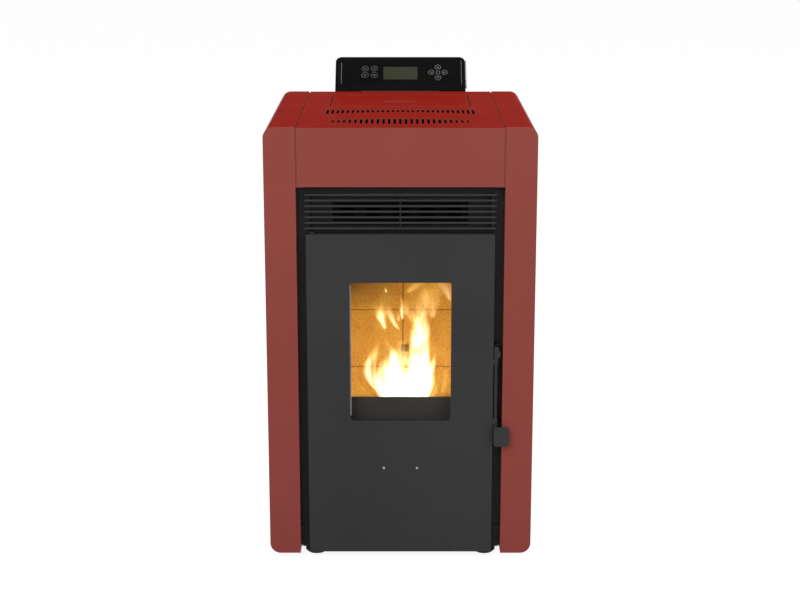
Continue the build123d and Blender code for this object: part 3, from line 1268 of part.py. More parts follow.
def make_convection_fan_housing():
    """The room air fan: a wide scroll that blows up behind the fire chamber."""
    place = Pos(FAN_Y, CONV_FAN_Z) * Rot(0, 0, 90)
    length = CONV_SCROLL + 20
    outer = place * scroll_outline(CONV_TONGUE, CONV_SCROLL, length, 0)
    inner = place * scroll_outline(CONV_TONGUE, CONV_SCROLL, length + 1, FAN_SHEET)
    scroll = side(outer, CONV_X0, CONV_X1)
    foot = CONV_FAN_Z - CONV_TONGUE
    for x in (CONV_X0, CONV_X1 - FAN_FOOT):
        scroll += span(x, x + FAN_FOOT, FAN_Y - CONV_INLET, FAN_Y + CONV_INLET, TRAY_FLOOR, foot)
    scroll -= side(inner, CONV_X0 + FAN_SHEET, CONV_X1 - FAN_SHEET)
    inlet = Pos(FAN_Y, CONV_FAN_Z) * Circle(CONV_INLET)
    scroll -= side(inlet, CONV_X0 - 1, CONV_X0 + FAN_SHEET + 1)
    scroll -= side(Pos(FAN_Y, CONV_FAN_Z) * Circle(FAN_SHAFT + 1), CONV_X1 - FAN_SHEET - 1, CONV_X1 + 1)
    return scroll


def make_convection_fan_wheel():
    """The squirrel cage wheel: curved blades between two rings, a back disc and the shaft."""
    x0 = CONV_X0 + 8
    x1 = CONV_X1 - 8
    inner = CONV_WHEEL - CONV_BLADE_DEPTH
    ring = Circle(CONV_WHEEL) - Circle(inner)
    wheel = side(ring, x0, x0 + CONV_RING)
    wheel += side(Circle(CONV_WHEEL), x1 - CONV_RING, x1)
    middle = (CONV_WHEEL + inner) / 2
    arc = ThreePointArc((inner + 0.6, 0), (middle, 1.8), (CONV_WHEEL - 0.6, 5.0))
    blade = trace(arc, line_width=1.2)
    blades = [Rot(0, 0, 360 * i / CONV_BLADES) * blade for i in range(CONV_BLADES)]
    wheel += side(Sketch() + blades, x0 + 1, x1 - 1)
    wheel += side(Circle(10), x1 - 14, x1)
    wheel += side(Circle(FAN_SHAFT), x1 - 1, CONV_X1 + CONV_MOTOR_LENGTH / 2)
    return Pos(0, FAN_Y, CONV_FAN_Z) * wheel


# ---------------------------------------------------------------- electric parts

def make_control_board():
    """The control board on four standoffs, with its larger components."""
    back_x = CHASSIS_IN - BOARD_STANDOFF
    board = span(back_x - BOARD_THICK, back_x, BOARD_Y0, BOARD_Y1, BOARD_Z0, BOARD_Z1)
    edge = BOARD_EDGE
    for y in (BOARD_Y0 + edge, BOARD_Y1 - edge):
        for z in (BOARD_Z0 + edge, BOARD_Z1 - edge):
            board += side(Pos(y, z) * Circle(POST_RADIUS), back_x - 1, CHASSIS_IN)
    face = back_x - BOARD_THICK
    low = BOARD_Z0 + 2 * edge
    for i in range(RELAY_COUNT):
        y = BOARD_Y0 + 2 * edge + i * RELAY_PITCH
        board += span(face - RELAY_DEPTH, face, y, y + RELAY_WIDTH, low, low + RELAY_HEIGHT)
    high = BOARD_Z1 - edge
    strip_y = BOARD_Y0 + 2 * edge
    board += span(face - STRIP_DEPTH, face, strip_y, BOARD_Y1 - 2 * edge, high - STRIP_HEIGHT, high)
    return board


def make_pressure_switch():
    """The air pressure switch on the left chassis wall, with its two hose nipples."""
    x0 = -CHASSIS_IN
    body = side(Pos(PRESSURE_Y, PRESSURE_Z) * Circle(PRESSURE_RADIUS), x0, x0 + PRESSURE_DEPTH)
    body = fillet(body.edges().group_by(Axis.X)[-1], 3)
    body += side(Pos(PRESSURE_Y, PRESSURE_Z) * Circle(3), x0 + PRESSURE_DEPTH - 1, x0 + PRESSURE_DEPTH + 12)
    return body + side(Pos(PRESSURE_Y, PRESSURE_Z - 12) * Circle(3), x0 + 4, x0 + PRESSURE_DEPTH + 12)


def make_mains_inlet():
    """The flush mains inlet with its recess and three blades, and the frame of the switch."""
    y1 = PANEL_BACK_Y + 3
    place = Pos(INLET_X, INLET_Z)
    inlet = front(place * Rectangle(INLET_WIDTH, INLET_HEIGHT), PANEL_BACK_Y - INLET_DEPTH, PANEL_BACK_Y + 1)
    flange = RectangleRounded(INLET_WIDTH + 2 * INLET_FLANGE, INLET_HEIGHT + 2 * INLET_FLANGE, 2)
    inlet += front(place * flange, PANEL_BACK_Y, y1)
    recess = Rectangle(INLET_WIDTH - 3, INLET_HEIGHT - 4)
    inlet -= front(place * recess, y1 - 17, y1 + 1)
    for x, z in ((-7, -2), (0, 2), (7, -2)):
        inlet += front(Pos(INLET_X + x, INLET_Z + z) * Rectangle(2, 4), y1 - 18, y1 - 6)
    spot = Pos(SWITCH_X, INLET_Z)
    shell = front(spot * Rectangle(SWITCH_WIDTH + 3, SWITCH_HEIGHT + 3), PANEL_BACK_Y - 14, PANEL_BACK_Y + 1)
    shell += front(spot * RectangleRounded(SWITCH_WIDTH + 8, SWITCH_HEIGHT + 8, 2), PANEL_BACK_Y, y1 - 1)
    pocket = spot * Rectangle(SWITCH_WIDTH + 2 * GAP, SWITCH_HEIGHT + 2.2)
    shell -= front(pocket, PANEL_BACK_Y - 10, y1 + 1)
    return [inlet, shell]


def make_mains_switch():
    """The rocker, drawn from the side with a shallow V face and tilted to its off side."""
    y0 = PANEL_BACK_Y - 5
    face = PANEL_BACK_Y + 1.4
    half = SWITCH_HEIGHT / 2
    outline = Polyline(
        (y0, INLET_Z - 4), (y0, INLET_Z + 4), (face - 2, INLET_Z + half),
        (face + SWITCH_CREST, INLET_Z + half), (face, INLET_Z),
        (face + SWITCH_CREST, INLET_Z - half), (face - 2, INLET_Z - half), close=True,
    )
    x0 = SWITCH_X - SWITCH_WIDTH / 2
    x1 = SWITCH_X + SWITCH_WIDTH / 2
    pivot = Pos(PANEL_BACK_Y - 1, INLET_Z)
    tilted = pivot * Rot(0, 0, -SWITCH_TILT) * pivot.inverse() * make_face(outline)
    return side(tilted, x0, x1)


# ---------------------------------------------------------------- console

def console_block(sketch, low, high):
    """A sketch drawn on the console face, pulled between two heights over that face."""
    return extrude(CONSOLE_PLANE.offset(low) * sketch, amount=high - low)


def faceplate_outline(growth):
    """The outline of the faceplate."""
    half = FACEPLATE_HALF + growth
    return rect(-half, half, FACEPLATE_LOW - growth, FACEPLATE_HIGH + growth, 6)


def make_console_housing():
    """The console shell: rounded upper corners, a recess for the faceplate, hollow inside."""
    outline = rect(-CONSOLE_HALF, CONSOLE_HALF, 0, CONSOLE_LENGTH)
    outline = fillet(outline.vertices().group_by(Axis.Y)[-1], CONSOLE_RADIUS)
    outline = fillet(outline.vertices().group_by(Axis.Y)[0], 3)
    shell = console_block(outline, -CONSOLE_THICK, 0)
    shell = fillet(shell.faces().sort_by(CONSOLE_AXIS)[-1].edges(), 1.5)
    shell -= console_block(faceplate_outline(GAP), -FACEPLATE_THICK, 1)
    hollow = rect(
        -FACEPLATE_HALF + 4, FACEPLATE_HALF - 4, FACEPLATE_LOW + 4, FACEPLATE_HIGH - 4, 4
    )
    return shell - console_block(hollow, -CONSOLE_THICK + CONSOLE_WALL, 0)


def arrow_outline(angle, growth):
    """One arrow key of the four-way pad, turned to its place, grown for its opening."""
    half = PAD_HALF
    points = (
        (-half * 0.6, 7.6), (half * 0.6, 7.6), (half, 12), (half * 0.8, 16.4),
        (0, PAD_REACH), (-half * 0.8, 16.4), (-half, 12),
    )
    petal = make_face(Polyline(*points, close=True))
    petal = fillet(petal.vertices(), 0.8)
    if growth > 0:
        petal = offset(petal, amount=growth)
    return Pos(PAD_X, PAD_S) * Rot(0, 0, angle) * petal


def key_outlines(growth):
    """The outline of each key by its name, grown for the openings of the faceplate."""
    outlines = {}
    number = 1
    for s in KEY_S:
        for x in KEY_X:
            outlines["key_round_" + str(number)] = Pos(x, s) * Circle(KEY_RADIUS + growth)
            number += 1
    for name, angle in (("up", 0), ("left", 90), ("down", 180), ("right", 270)):
        outlines["key_" + name] = arrow_outline(angle, growth)
    size = PAD_CENTRE + 2 * growth
    outlines["key_centre"] = Pos(PAD_X, PAD_S) * RectangleRounded(size, size, 1.5)
    return outlines


def make_console_faceplate():
    """The faceplate with the display window and an opening for each key."""
    plate = faceplate_outline(0)
    plate -= rect(-DISPLAY_HALF, DISPLAY_HALF, DISPLAY_LOW, DISPLAY_HIGH, 1)
    for hole in key_outlines(KEY_CLEARANCE).values():
        plate -= hole
    return console_block(plate, -FACEPLATE_THICK, 0)


def make_console_display():
    """The display module and the key board behind the faceplate."""
    board_top = -KEY_DEPTH - BOARD_GAP
    frame = DISPLAY_FRAME
    display = console_block(
        rect(-DISPLAY_HALF - frame, DISPLAY_HALF + frame, DISPLAY_LOW - frame, DISPLAY_HIGH + frame),
        board_top, -FACEPLATE_THICK,
    )
    lens = rect(-DISPLAY_HALF + GAP, DISPLAY_HALF - GAP, DISPLAY_LOW + GAP, DISPLAY_HIGH - GAP, 0.8)
    display += console_block(lens, -FACEPLATE_THICK - 1, -0.6)
    half = FACEPLATE_HALF - 5
    board = rect(-half, half, FACEPLATE_LOW + 5, FACEPLATE_HIGH - 5, 4)
    display += console_block(board, board_top - BOARD_THICK, board_top)
    for x in (-half + 6, half - 6, -20, 20):
        post = Pos(x, FACEPLATE_LOW + 9) * Circle(2.5)
        display += console_block(post, -CONSOLE_THICK + CONSOLE_WALL, board_top - 1)
        display += console_block(post, board_top - 1, -FACEPLATE_THICK)
    return display


def make_key(outline):
    """One key cap that passes through the faceplate."""
    cap = console_block(outline, -KEY_DEPTH, KEY_STAND)
    top = cap.faces().sort_by(CONSOLE_AXIS)[-1]
    return chamfer(top.edges(), 0.4)


def make_console_bracket():
    """The folded bracket between the rear of the cover and the underside of the console."""
    slope = CONSOLE_PLANE.z_dir * -CONSOLE_THICK
    end = (CONSOLE_Y + slope.Y, TOP + slope.Z)
    outline = make_face(Polyline(
        (PANEL_BACK_Y, BRACKET_LOW_Z), (PANEL_BACK_Y, TOP - COVER_LIP), (DEPTH, TOP - COVER_LIP),
        (DEPTH, TOP), (CONSOLE_Y, TOP), end, close=True,
    ))
    hollow = offset(outline, amount=-BRACKET_SHEET)
    return side(outline - hollow, -BRACKET_HALF, BRACKET_HALF)


# ---------------------------------------------------------------- all pieces

def make_pieces():
    """Every piece of the stove by its name."""
    right_cheek = make_right_cheek()
    pieces = {
        "base_tray": make_base_tray(),
        "rubber_feet": make_rubber_feet(),
        "chassis_sides": make_chassis_sides(),
        "left_cheek": mirror(right_cheek, about=Plane.YZ),
        "right_cheek": right_cheek,
        "top_cover": make_top_cover(),
        "front_frame": make_front_frame(),
        "air_grille": make_air_grille(),
        "back_panel": make_back_panel(),
        "casing_screws": make_casing_screws(),
        "hopper_lid": make_hopper_lid(),
        "lid_seal": make_lid_seal(),
        "door_panel": make_door_panel(),
        "door_inner_frame": make_door_inner_frame(),
        "door_glass": make_door_glass(),
        "door_seals": make_door_seals(),
        "glass_clips": make_glass_clips(),
        "door_studs": make_door_studs(),
        "hinge_brackets": make_hinge_brackets(),
        "latch_rod": make_latch_rod(),
        "latch_grip": make_latch_grip(),
        "latch_keeper": make_latch_keeper(),
        "firebox": make_firebox(),
        "fire_bricks": make_fire_bricks(),
        "baffle_plate": make_baffle_plate(),
        "exchanger_tubes": make_exchanger_tubes(),
        "burn_pot_cradle": make_burn_pot_cradle(),
        "burn_pot": make_burn_pot(),
        "ash_drawer": make_ash_drawer(),
        "hopper": make_hopper(),
        "feed_tube": make_feed_tube(),
        "auger_screw": make_auger_screw(),
        "feed_gearmotor": make_feed_gearmotor(),
        "drop_chute": make_drop_chute(),
        "smoke_duct": make_smoke_duct(),
        "smoke_fan_housing": make_smoke_fan_housing(),
        "smoke_fan_wheel": make_smoke_fan_wheel(),
        "flue_spigot": make_flue_spigot(),
        "air_intake": make_air_intake(),
        "igniter": make_igniter(),
        "convection_fan_housing": make_convection_fan_housing(),
        "convection_fan_wheel": make_convection_fan_wheel(),
        "fan_motors": make_fan_motors(),
        "control_board": make_control_board(),
        "pressure_switch": make_pressure_switch(),
        "mains_inlet": make_mains_inlet(),
        "mains_switch": make_mains_switch(),
        "console_housing": make_console_housing(),
        "console_faceplate": make_console_faceplate(),
        "console_display": make_console_display(),
        "console_bracket": make_console_bracket(),
    }
    for name, outline in key_outlines(0).items():
        pieces[name] = make_key(outline)
    return pieces


def main():
    """Write each piece, with the origin under the middle of the whole stove."""
    os.makedirs("parts", exist_ok=True)
    for name, shape in make_pieces().items():
        solids = shape if isinstance(shape, list) else [shape]
        placed = [Pos(0, -ORIGIN_Y, 0) * solid for solid in solids]
        whole = placed[0] if len(placed) == 1 else Compound(children=placed)
        export_step(whole, "parts/" + name + ".step")


main()
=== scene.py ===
import bpy
import bmesh
import math
import random
from mathutils import Matrix, Vector


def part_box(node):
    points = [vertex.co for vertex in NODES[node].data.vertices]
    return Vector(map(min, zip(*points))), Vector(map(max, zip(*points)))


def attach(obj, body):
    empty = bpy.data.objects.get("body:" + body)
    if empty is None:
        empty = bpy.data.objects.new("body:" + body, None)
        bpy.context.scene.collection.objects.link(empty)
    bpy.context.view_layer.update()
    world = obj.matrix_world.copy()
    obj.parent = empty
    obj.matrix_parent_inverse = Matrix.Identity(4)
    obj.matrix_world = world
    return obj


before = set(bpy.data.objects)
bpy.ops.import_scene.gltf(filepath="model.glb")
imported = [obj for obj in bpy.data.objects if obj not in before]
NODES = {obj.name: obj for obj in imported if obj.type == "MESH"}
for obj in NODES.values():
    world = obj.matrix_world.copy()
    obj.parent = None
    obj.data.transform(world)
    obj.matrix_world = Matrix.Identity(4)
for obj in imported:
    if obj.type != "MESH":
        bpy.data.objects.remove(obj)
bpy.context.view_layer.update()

FRONT_Y = -0.279      # the front plane of the red casing
MM = 0.001            # lengths named as millimetres are turned into metres with it


def linear(red, green, blue):
    """A display colour from 0 to 255 as the linear colour that shaders take."""
    out = []
    for value in (red, green, blue):
        value /= 255
        out.append(value / 12.92 if value <= 0.04045 else ((value + 0.055) / 1.055) ** 2.4)
    return (out[0], out[1], out[2], 1.0)


# ---------------------------------------------------------------- helpers

NOISE_ROUGHNESS = 0.55
# The colour sockets of a Mix node, which share their names with its other sockets.
MIX_INPUTS = (0, 6, 7)
MIX_OUTPUT = 2


class Graph:
    """A material's node tree with short calls for the nodes used here."""

    def __init__(self, name):
        self.material = bpy.data.materials.new(name)
        self.material.use_nodes = True
        self.tree = self.material.node_tree
        self.tree.nodes.clear()
        self.output = self.node("ShaderNodeOutputMaterial")
        self.coords = self.node("ShaderNodeTexCoord")

    def node(self, kind, **settings):
        made = self.tree.nodes.new(kind)
        for key, value in settings.items():
            setattr(made, key, value)
        return made

    def link(self, source, target):
        self.tree.links.new(source, target)

    def feed(self, value, socket):
        """Sets a constant on a socket, or links a node's output to it."""
        if isinstance(value, (int, float, tuple)):
            socket.default_value = value
        else:
            self.link(value, socket)

    def place(self, scale):
        """Object coordinates stretched by a scale on each axis."""
        mapping = self.node("ShaderNodeMapping")
        mapping.inputs["Scale"].default_value = scale
        self.link(self.coords.outputs["Object"], mapping.inputs["Vector"])
        return mapping.outputs["Vector"]

    def axis(self, letter, source="Object"):
        """X, Y or Z of the object coordinates or of the normal."""
        split = self.node("ShaderNodeSeparateXYZ")
        self.link(self.coords.outputs[source], split.inputs["Vector"])
        return split.outputs[letter]

    def noise(self, scale, detail=3.0, vector=None, distortion=0.0):
        """Cloudy noise around 0.5; the scale is in features per metre."""
        made = self.node("ShaderNodeTexNoise")
        made.inputs["Scale"].default_value = scale
        made.inputs["Detail"].default_value = detail
        made.inputs["Roughness"].default_value = NOISE_ROUGHNESS
        made.inputs["Distortion"].default_value = distortion
        self.link(vector or self.coords.outputs["Object"], made.inputs["Vector"])
        return made.outputs["Fac"]

    def ramp(self, fac, stops):
        """A colour ramp; stops are (position, colour)."""
        made = self.node("ShaderNodeValToRGB")
        points = made.color_ramp.elements
        while len(points) < len(stops):
            points.new(0.5)
        for point, (position, colour) in zip(points, stops):
            point.position = position
            point.color = colour
        self.link(fac, made.inputs["Fac"])
        return made.outputs["Color"]

    def span(self, value, low, high, to_low, to_high):
        """Maps low..high to to_low..to_high, and holds the ends."""
        made = self.node("ShaderNodeMapRange")
        made.inputs["From Min"].default_value = low
        made.inputs["From Max"].default_value = high
        made.inputs["To Min"].default_value = to_low
        made.inputs["To Max"].default_value = to_high
        self.link(value, made.inputs["Value"])
        return made.outputs["Result"]

    def math(self, operation, first, *second):
        made = self.node("ShaderNodeMath", operation=operation)
        for socket, value in zip(made.inputs, (first, *second)):
            self.feed(value, socket)
        return made.outputs["Value"]

    def times(self, first, second):
        return self.math("MULTIPLY", first, second)

    def rest(self, value):
        """What is left of 1."""
        return self.math("SUBTRACT", 1.0, value)

    def mix(self, fac, first, second):
        """From the first colour at 0 to the second at 1."""
        made = self.node("ShaderNodeMix", data_type="RGBA")
        for value, socket in zip((fac, first, second), MIX_INPUTS):
            self.feed(value, made.inputs[socket])
        return made.outputs[MIX_OUTPUT]

    def edges(self, radius, amount):
        """The amount of painted highlight on sharp edges and 0 on flat faces, from a bevelled
        normal.
        """
        bevel = self.node("ShaderNodeBevel", samples=6)
        bevel.inputs["Radius"].default_value = radius
        geometry = self.node("ShaderNodeNewGeometry")
        dot = self.node("ShaderNodeVectorMath", operation="DOT_PRODUCT")
        self.link(bevel.outputs["Normal"], dot.inputs[0])
        self.link(geometry.outputs["Normal"], dot.inputs[1])
        return self.span(dot.outputs["Value"], 0.995, 0.75, 0.0, amount)

    def bump(self, height, distance, strength):
        made = self.node("ShaderNodeBump")
        made.inputs["Strength"].default_value = strength
        made.inputs["Distance"].default_value = distance
        self.link(height, made.inputs["Height"])
        return made.outputs["Normal"]

    def principled(self, **values):
        """A principled surface; its sockets are named with underscores for spaces."""
        made = self.node("ShaderNodeBsdfPrincipled")
        for key, value in values.items():
            self.feed(value, made.inputs[key.replace("_", " ")])
        self.link(made.outputs["BSDF"], self.output.inputs["Surface"])
        return made

    def blend(self, fac, first, second):
        """The surface is the first shader at 0 and the second at 1."""
        made = self.node("ShaderNodeMixShader")
        self.link(fac, made.inputs["Fac"])
        self.link(first, made.inputs[1])
        self.link(second, made.inputs[2])
        self.link(made.outputs["Shader"], self.output.inputs["Surface"])

    def both(self, first, second):
        """The light of two shaders added up."""
        made = self.node("ShaderNodeAddShader")
        self.link(first, made.inputs[0])
        self.link(second, made.inputs[1])
        return made.outputs["Shader"]


def dress(name, material):
    """Gives a CAD node its material."""
    mesh = NODES[name].data
    mesh.materials.clear()
    mesh.materials.append(material)


def as_mesh(name, shape):
    """A finished bmesh as mesh data."""
    mesh = bpy.data.meshes.new(name)
    shape.to_mesh(mesh)
    shape.free()
    return mesh


def add_object(name, mesh, material):
    """Mesh data as an object of the scene."""
    mesh.materials.append(material)
    made = bpy.data.objects.new(name, mesh)
    bpy.context.scene.collection.objects.link(made)
    return made


# ---------------------------------------------------------------- materials

NOTCH_X = 0.0085      # the middle of the painted shade for the notch in the back bricks
NOTCH_Z = 0.3355


def red_enamel():
    """Satin red enamel with fine orange peel and dust; its colour holds painted light: deeper on
    level faces, a whitish sheen on upright ones that fades lower down, and highlights on the
    edges.
    """
    g = Graph("red_enamel")
    level = g.span(g.axis("Z", "Normal"), 0.2, 0.85, 0.0, 1.0)
    cloud = g.noise(3.0, 4.0)
    # Painted light: upright faces take a paler colour with a whitish painted sheen, and level
    # faces a deeper, painted shade of the red; level picks between them.
    upright = g.ramp(cloud, [(0.3, linear(134, 65, 58)), (0.7, linear(141, 70, 62))])
    top = g.ramp(cloud, [(0.3, linear(138, 30, 20)), (0.7, linear(145, 34, 25))])
    # Lower down, the upright faces lose part of their painted sheen and darken: painted shade.
    low = g.span(g.axis("Z"), 0.75, 0.02, 0.0, 0.5)
    upright_painted_sheen_low = g.mix(low, upright, g.mix(0.55, upright, linear(128, 50, 50)))
    colour = g.mix(level, upright_painted_sheen_low, top)
    # Painted highlight: paler edges.
    colour = g.mix(g.edges(0.0012, 0.55), colour, linear(188, 96, 88))
    dust = g.span(g.noise(60.0, 6.0), 0.55, 0.8, 0.0, 0.06)
    colour = g.mix(dust, colour, linear(170, 84, 74))
    peel = g.noise(650.0, 2.0)
    rough = g.span(g.noise(9.0, 5.0), 0.3, 0.7, 0.36, 0.46)
    g.principled(
        Base_Color=colour, Roughness=rough, Normal=g.bump(peel, 0.00018, 0.35),
        Specular_IOR_Level=g.span(level, 0.0, 1.0, 0.088, 0.0004),
    )
    return g.material


def black_enamel(name, light, dark, rough_low, rough_high, shadow=None):
    """Matt heat-resisting black: fine grain, faint clouds and paler edges, a painted highlight.

    From the depth called shadow, metres along y, the surface darkens with painted shade, as in a
    deep opening.
    """
    g = Graph(name)
    cloud = g.noise(4.0, 4.0)
    colour = g.ramp(cloud, [(0.3, dark), (0.7, light)])
    fleck = g.span(g.noise(1400.0, 2.0), 0.6, 0.8, 0.0, 0.10)
    colour = g.mix(fleck, colour, linear(120, 120, 120))
    # Painted highlight: paler edges.
    colour = g.mix(g.edges(0.0010, 0.35), colour, linear(112, 112, 113))
    if shadow is not None:
        # Painted shade deep in the opening.
        painted_shade_behind = g.span(g.axis("Y"), shadow, shadow + 0.0015, 0.0, 0.85)
        colour = g.mix(painted_shade_behind, colour, linear(10, 10, 10))
    rough = g.span(g.noise(14.0, 5.0), 0.3, 0.7, rough_low, rough_high)
    g.principled(
        Base_Color=colour, Roughness=rough, Normal=g.bump(g.noise(900.0), 0.00012, 0.4),
        Specular_IOR_Level=0.13,
    )
    return g.material


def sheet_metal(name, light, dark, rough_low, rough_high, stretch=(1, 1, 1), scale=60.0):
    """Bare metal: spangle or brushed lines by the stretch, with darker smears and paler edges, a
    painted highlight.
    """
    g = Graph(name)
    grain = g.noise(scale, 4.0, g.place(stretch))
    colour = g.ramp(grain, [(0.3, dark), (0.7, light)])
    smear = g.span(g.noise(5.0, 5.0, distortion=0.6), 0.55, 0.75, 0.0, 0.35)
    colour = g.mix(smear, colour, dark)
    # Painted highlight: paler edges.
    colour = g.mix(g.edges(0.0008, 0.4), colour, linear(215, 215, 214))
    rough = g.span(grain, 0.3, 0.7, rough_low, rough_high)
    g.principled(
        Base_Color=colour, Metallic=1.0, Roughness=rough, Normal=g.bump(grain, 0.00008, 0.3)
    )
    return g.material


def scorched_steel(name, metal, gleam, soot_low, soot_high):
    """Fire-blued steel with a little rust, under more or less soot."""
    g = Graph(name)
    cloud = g.noise(14.0, 6.0, distortion=0.8)
    colour = g.ramp(cloud, [
        (0.30, linear(34, 32, 31)), (0.52, linear(66, 60, 56)), (0.72, linear(92, 74, 60)),
    ])
    soot = g.span(g.noise(5.0, 4.0), 0.45, 0.7, soot_low, soot_high)
    colour = g.mix(soot, colour, linear(9, 8, 8))
    rough = g.span(cloud, 0.3, 0.7, 0.5, 0.75)
    g.principled(
        Base_Color=colour, Metallic=metal, Roughness=rough, Specular_IOR_Level=gleam,
        Normal=g.bump(g.noise(240.0, 5.0), 0.0004, 0.6),
    )
    return g.material


def cast_iron():
    """Sand-cast iron with ash in its pores."""
    g = Graph("cast_iron")
    pores = g.noise(420.0, 5.0)
    colour = g.ramp(pores, [(0.35, linear(34, 34, 34)), (0.7, linear(66, 66, 66))])
    ash = g.span(g.noise(26.0, 6.0), 0.56, 0.75, 0.0, 0.55)
    colour = g.mix(ash, colour, linear(122, 121, 119))
    g.principled(
        Base_Color=colour, Metallic=0.5, Roughness=g.span(pores, 0.3, 0.7, 0.55, 0.8),
        Normal=g.bump(pores, 0.0006, 0.7),
    )
    return g.material


def fire_brick():
    """Pressed fire brick, speckled, darker at the top left, with the fire's light painted on it as
    emission and painted shade in its joints.
    """
    g = Graph("fire_brick")
    x, z = g.axis("X"), g.axis("Z")
    speck = g.noise(260.0, 6.0)
    stain = g.noise(16.0, 5.0, distortion=0.5)
    colour = g.ramp(speck, [(0.3, linear(128, 92, 52)), (0.7, linear(168, 132, 84))])
    colour = g.mix(g.span(stain, 0.45, 0.75, 0.0, 0.55), colour, linear(120, 88, 58))
    # The colour of the painted firelight.
    glow = g.ramp(g.math("ADD", g.times(stain, 0.75), g.times(speck, 0.25)), [
        (0.36, linear(176, 104, 24)), (0.50, linear(210, 144, 38)), (0.64, linear(224, 168, 62)),
    ])
    # Painted light: the fire's light on the bricks is emission in their material. It fades
    # upwards, and most of all towards the top left.
    heat = g.span(z, 0.30, 0.52, 1.0, 0.62)
    left = g.rest(g.span(x, -0.09, 0.02, 0.0, 1.0))
    corner = g.times(left, g.span(z, 0.40, 0.47, 0.0, 1.0))
    heat = g.times(heat, g.rest(g.times(corner, 0.98)))
    # The colour itself is darker towards the top left.
    colour = g.mix(g.times(corner, 0.7), colour, linear(96, 60, 32))
    # Painted shade stands for the notch below the middle joint, where the ignition comes through:
    # a dark patch, where the painted firelight is dimmed too.
    wide = g.span(g.math("ABSOLUTE", g.math("SUBTRACT", x, NOTCH_X)), 0.0065, 0.0085, 1.0, 0.0)
    high = g.span(g.math("ABSOLUTE", g.math("SUBTRACT", z, NOTCH_Z)), 0.0060, 0.0080, 1.0, 0.0)
    notch_painted_shade = g.times(wide, high)
    colour = g.mix(notch_painted_shade, colour, linear(46, 26, 10))
    heat = g.times(heat, g.rest(g.times(notch_painted_shade, 0.9)))
    # Painted shade: ambient occlusion darkens the joints between the bricks and other hollows, and
    # dims the painted firelight there.
    shade = g.node("ShaderNodeAmbientOcclusion", samples=6)
    shade.inputs["Distance"].default_value = 0.008
    joint_painted_shade = g.span(shade.outputs["AO"], 0.35, 0.95, 0.45, 1.0)
    colour = g.mix(joint_painted_shade, linear(104, 60, 26), colour)
    heat = g.times(heat, joint_painted_shade)
    shader = g.principled(
        Base_Color=colour, Roughness=g.span(speck, 0.3, 0.7, 0.8, 0.95),
        Normal=g.bump(g.noise(320.0, 6.0), 0.0012, 0.6), Specular_IOR_Level=0.15,
    )
    g.link(glow, shader.inputs["Emission Color"])
    g.link(g.times(heat, 0.82), shader.inputs["Emission Strength"])
    return g.material


def window_glass():
    """Clear glass ceramic: see-through, with a mild reflection."""
    g = Graph("window_glass")
    clear = g.node("ShaderNodeBsdfTransparent")
    g.link(g.ramp(g.noise(7.0, 4.0), [
        (0.3, (0.93, 0.90, 0.86, 1)), (0.7, (0.98, 0.96, 0.93, 1)),
    ]), clear.inputs["Color"])
    gloss = g.node("ShaderNodeBsdfGlossy")
    gloss.inputs["Color"].default_value = (0.9, 0.9, 0.9, 1)
    g.link(g.span(g.noise(30.0, 4.0), 0.3, 0.7, 0.04, 0.10), gloss.inputs["Roughness"])
    fresnel = g.node("ShaderNodeFresnel")
    fresnel.inputs["IOR"].default_value = 1.10
    g.blend(fresnel.outputs["Fac"], clear.outputs["BSDF"], gloss.outputs["BSDF"])
    return g.material


def fibre():
    """Woven glass fibre rope."""
    g = Graph("fibre")
    wave = g.node("ShaderNodeTexWave", wave_type="BANDS", bands_direction="DIAGONAL")
    wave.inputs["Scale"].default_value = 130.0
    wave.inputs["Distortion"].default_value = 1.5
    g.link(g.coords.outputs["Object"], wave.inputs["Vector"])
    colour = g.ramp(wave.outputs["Fac"], [(0.2, linear(46, 44, 42)), (0.8, linear(104, 101, 96))])
    g.principled(
        Base_Color=colour, Roughness=g.span(g.noise(90.0), 0.3, 0.7, 0.85, 0.97),
        Normal=g.bump(wave.outputs["Fac"], 0.0006, 0.8),
    )
    return g.material


def moulded(name, dark, light, rough_low, rough_high, grain=700.0, depth=0.0001, level=0.2):
    """Moulded plastic or rubber with a fine grain and paler edges, a painted highlight."""
    g = Graph(name)
    colour = g.ramp(g.noise(12.0, 4.0), [(0.3, dark), (0.7, light)])
    # Painted highlight: paler edges.
    colour = g.mix(g.edges(0.0006, 0.3), colour, linear(96, 96, 98))
    g.principled(
        Base_Color=colour, Roughness=g.span(g.noise(40.0, 4.0), 0.3, 0.7, rough_low, rough_high),
        Normal=g.bump(g.noise(grain, 2.0), depth, 0.4), Specular_IOR_Level=level,
    )
    return g.material


def display_glass():
    """The unlit olive-grey display with its faint dot grid."""
    g = Graph("display_glass")
    cells = g.node("ShaderNodeTexChecker")
    cells.inputs["Scale"].default_value = 1900.0
    cells.inputs["Color1"].default_value = linear(50, 53, 32)
    cells.inputs["Color2"].default_value = linear(58, 60, 42)
    g.link(g.coords.outputs["Object"], cells.inputs["Vector"])
    # Painted reflection: the display grows paler towards the right.
    shade = g.span(g.axis("X"), -0.034, 0.034, 0.0, 0.7)
    colour = g.mix(shade, cells.outputs["Color"], linear(62, 62, 52))
    g.principled(
        Base_Color=colour, Roughness=g.span(g.noise(30.0), 0.3, 0.7, 0.22, 0.3),
        Specular_IOR_Level=0.08, Normal=g.bump(g.noise(500.0), 0.00004, 0.2),
    )
    return g.material


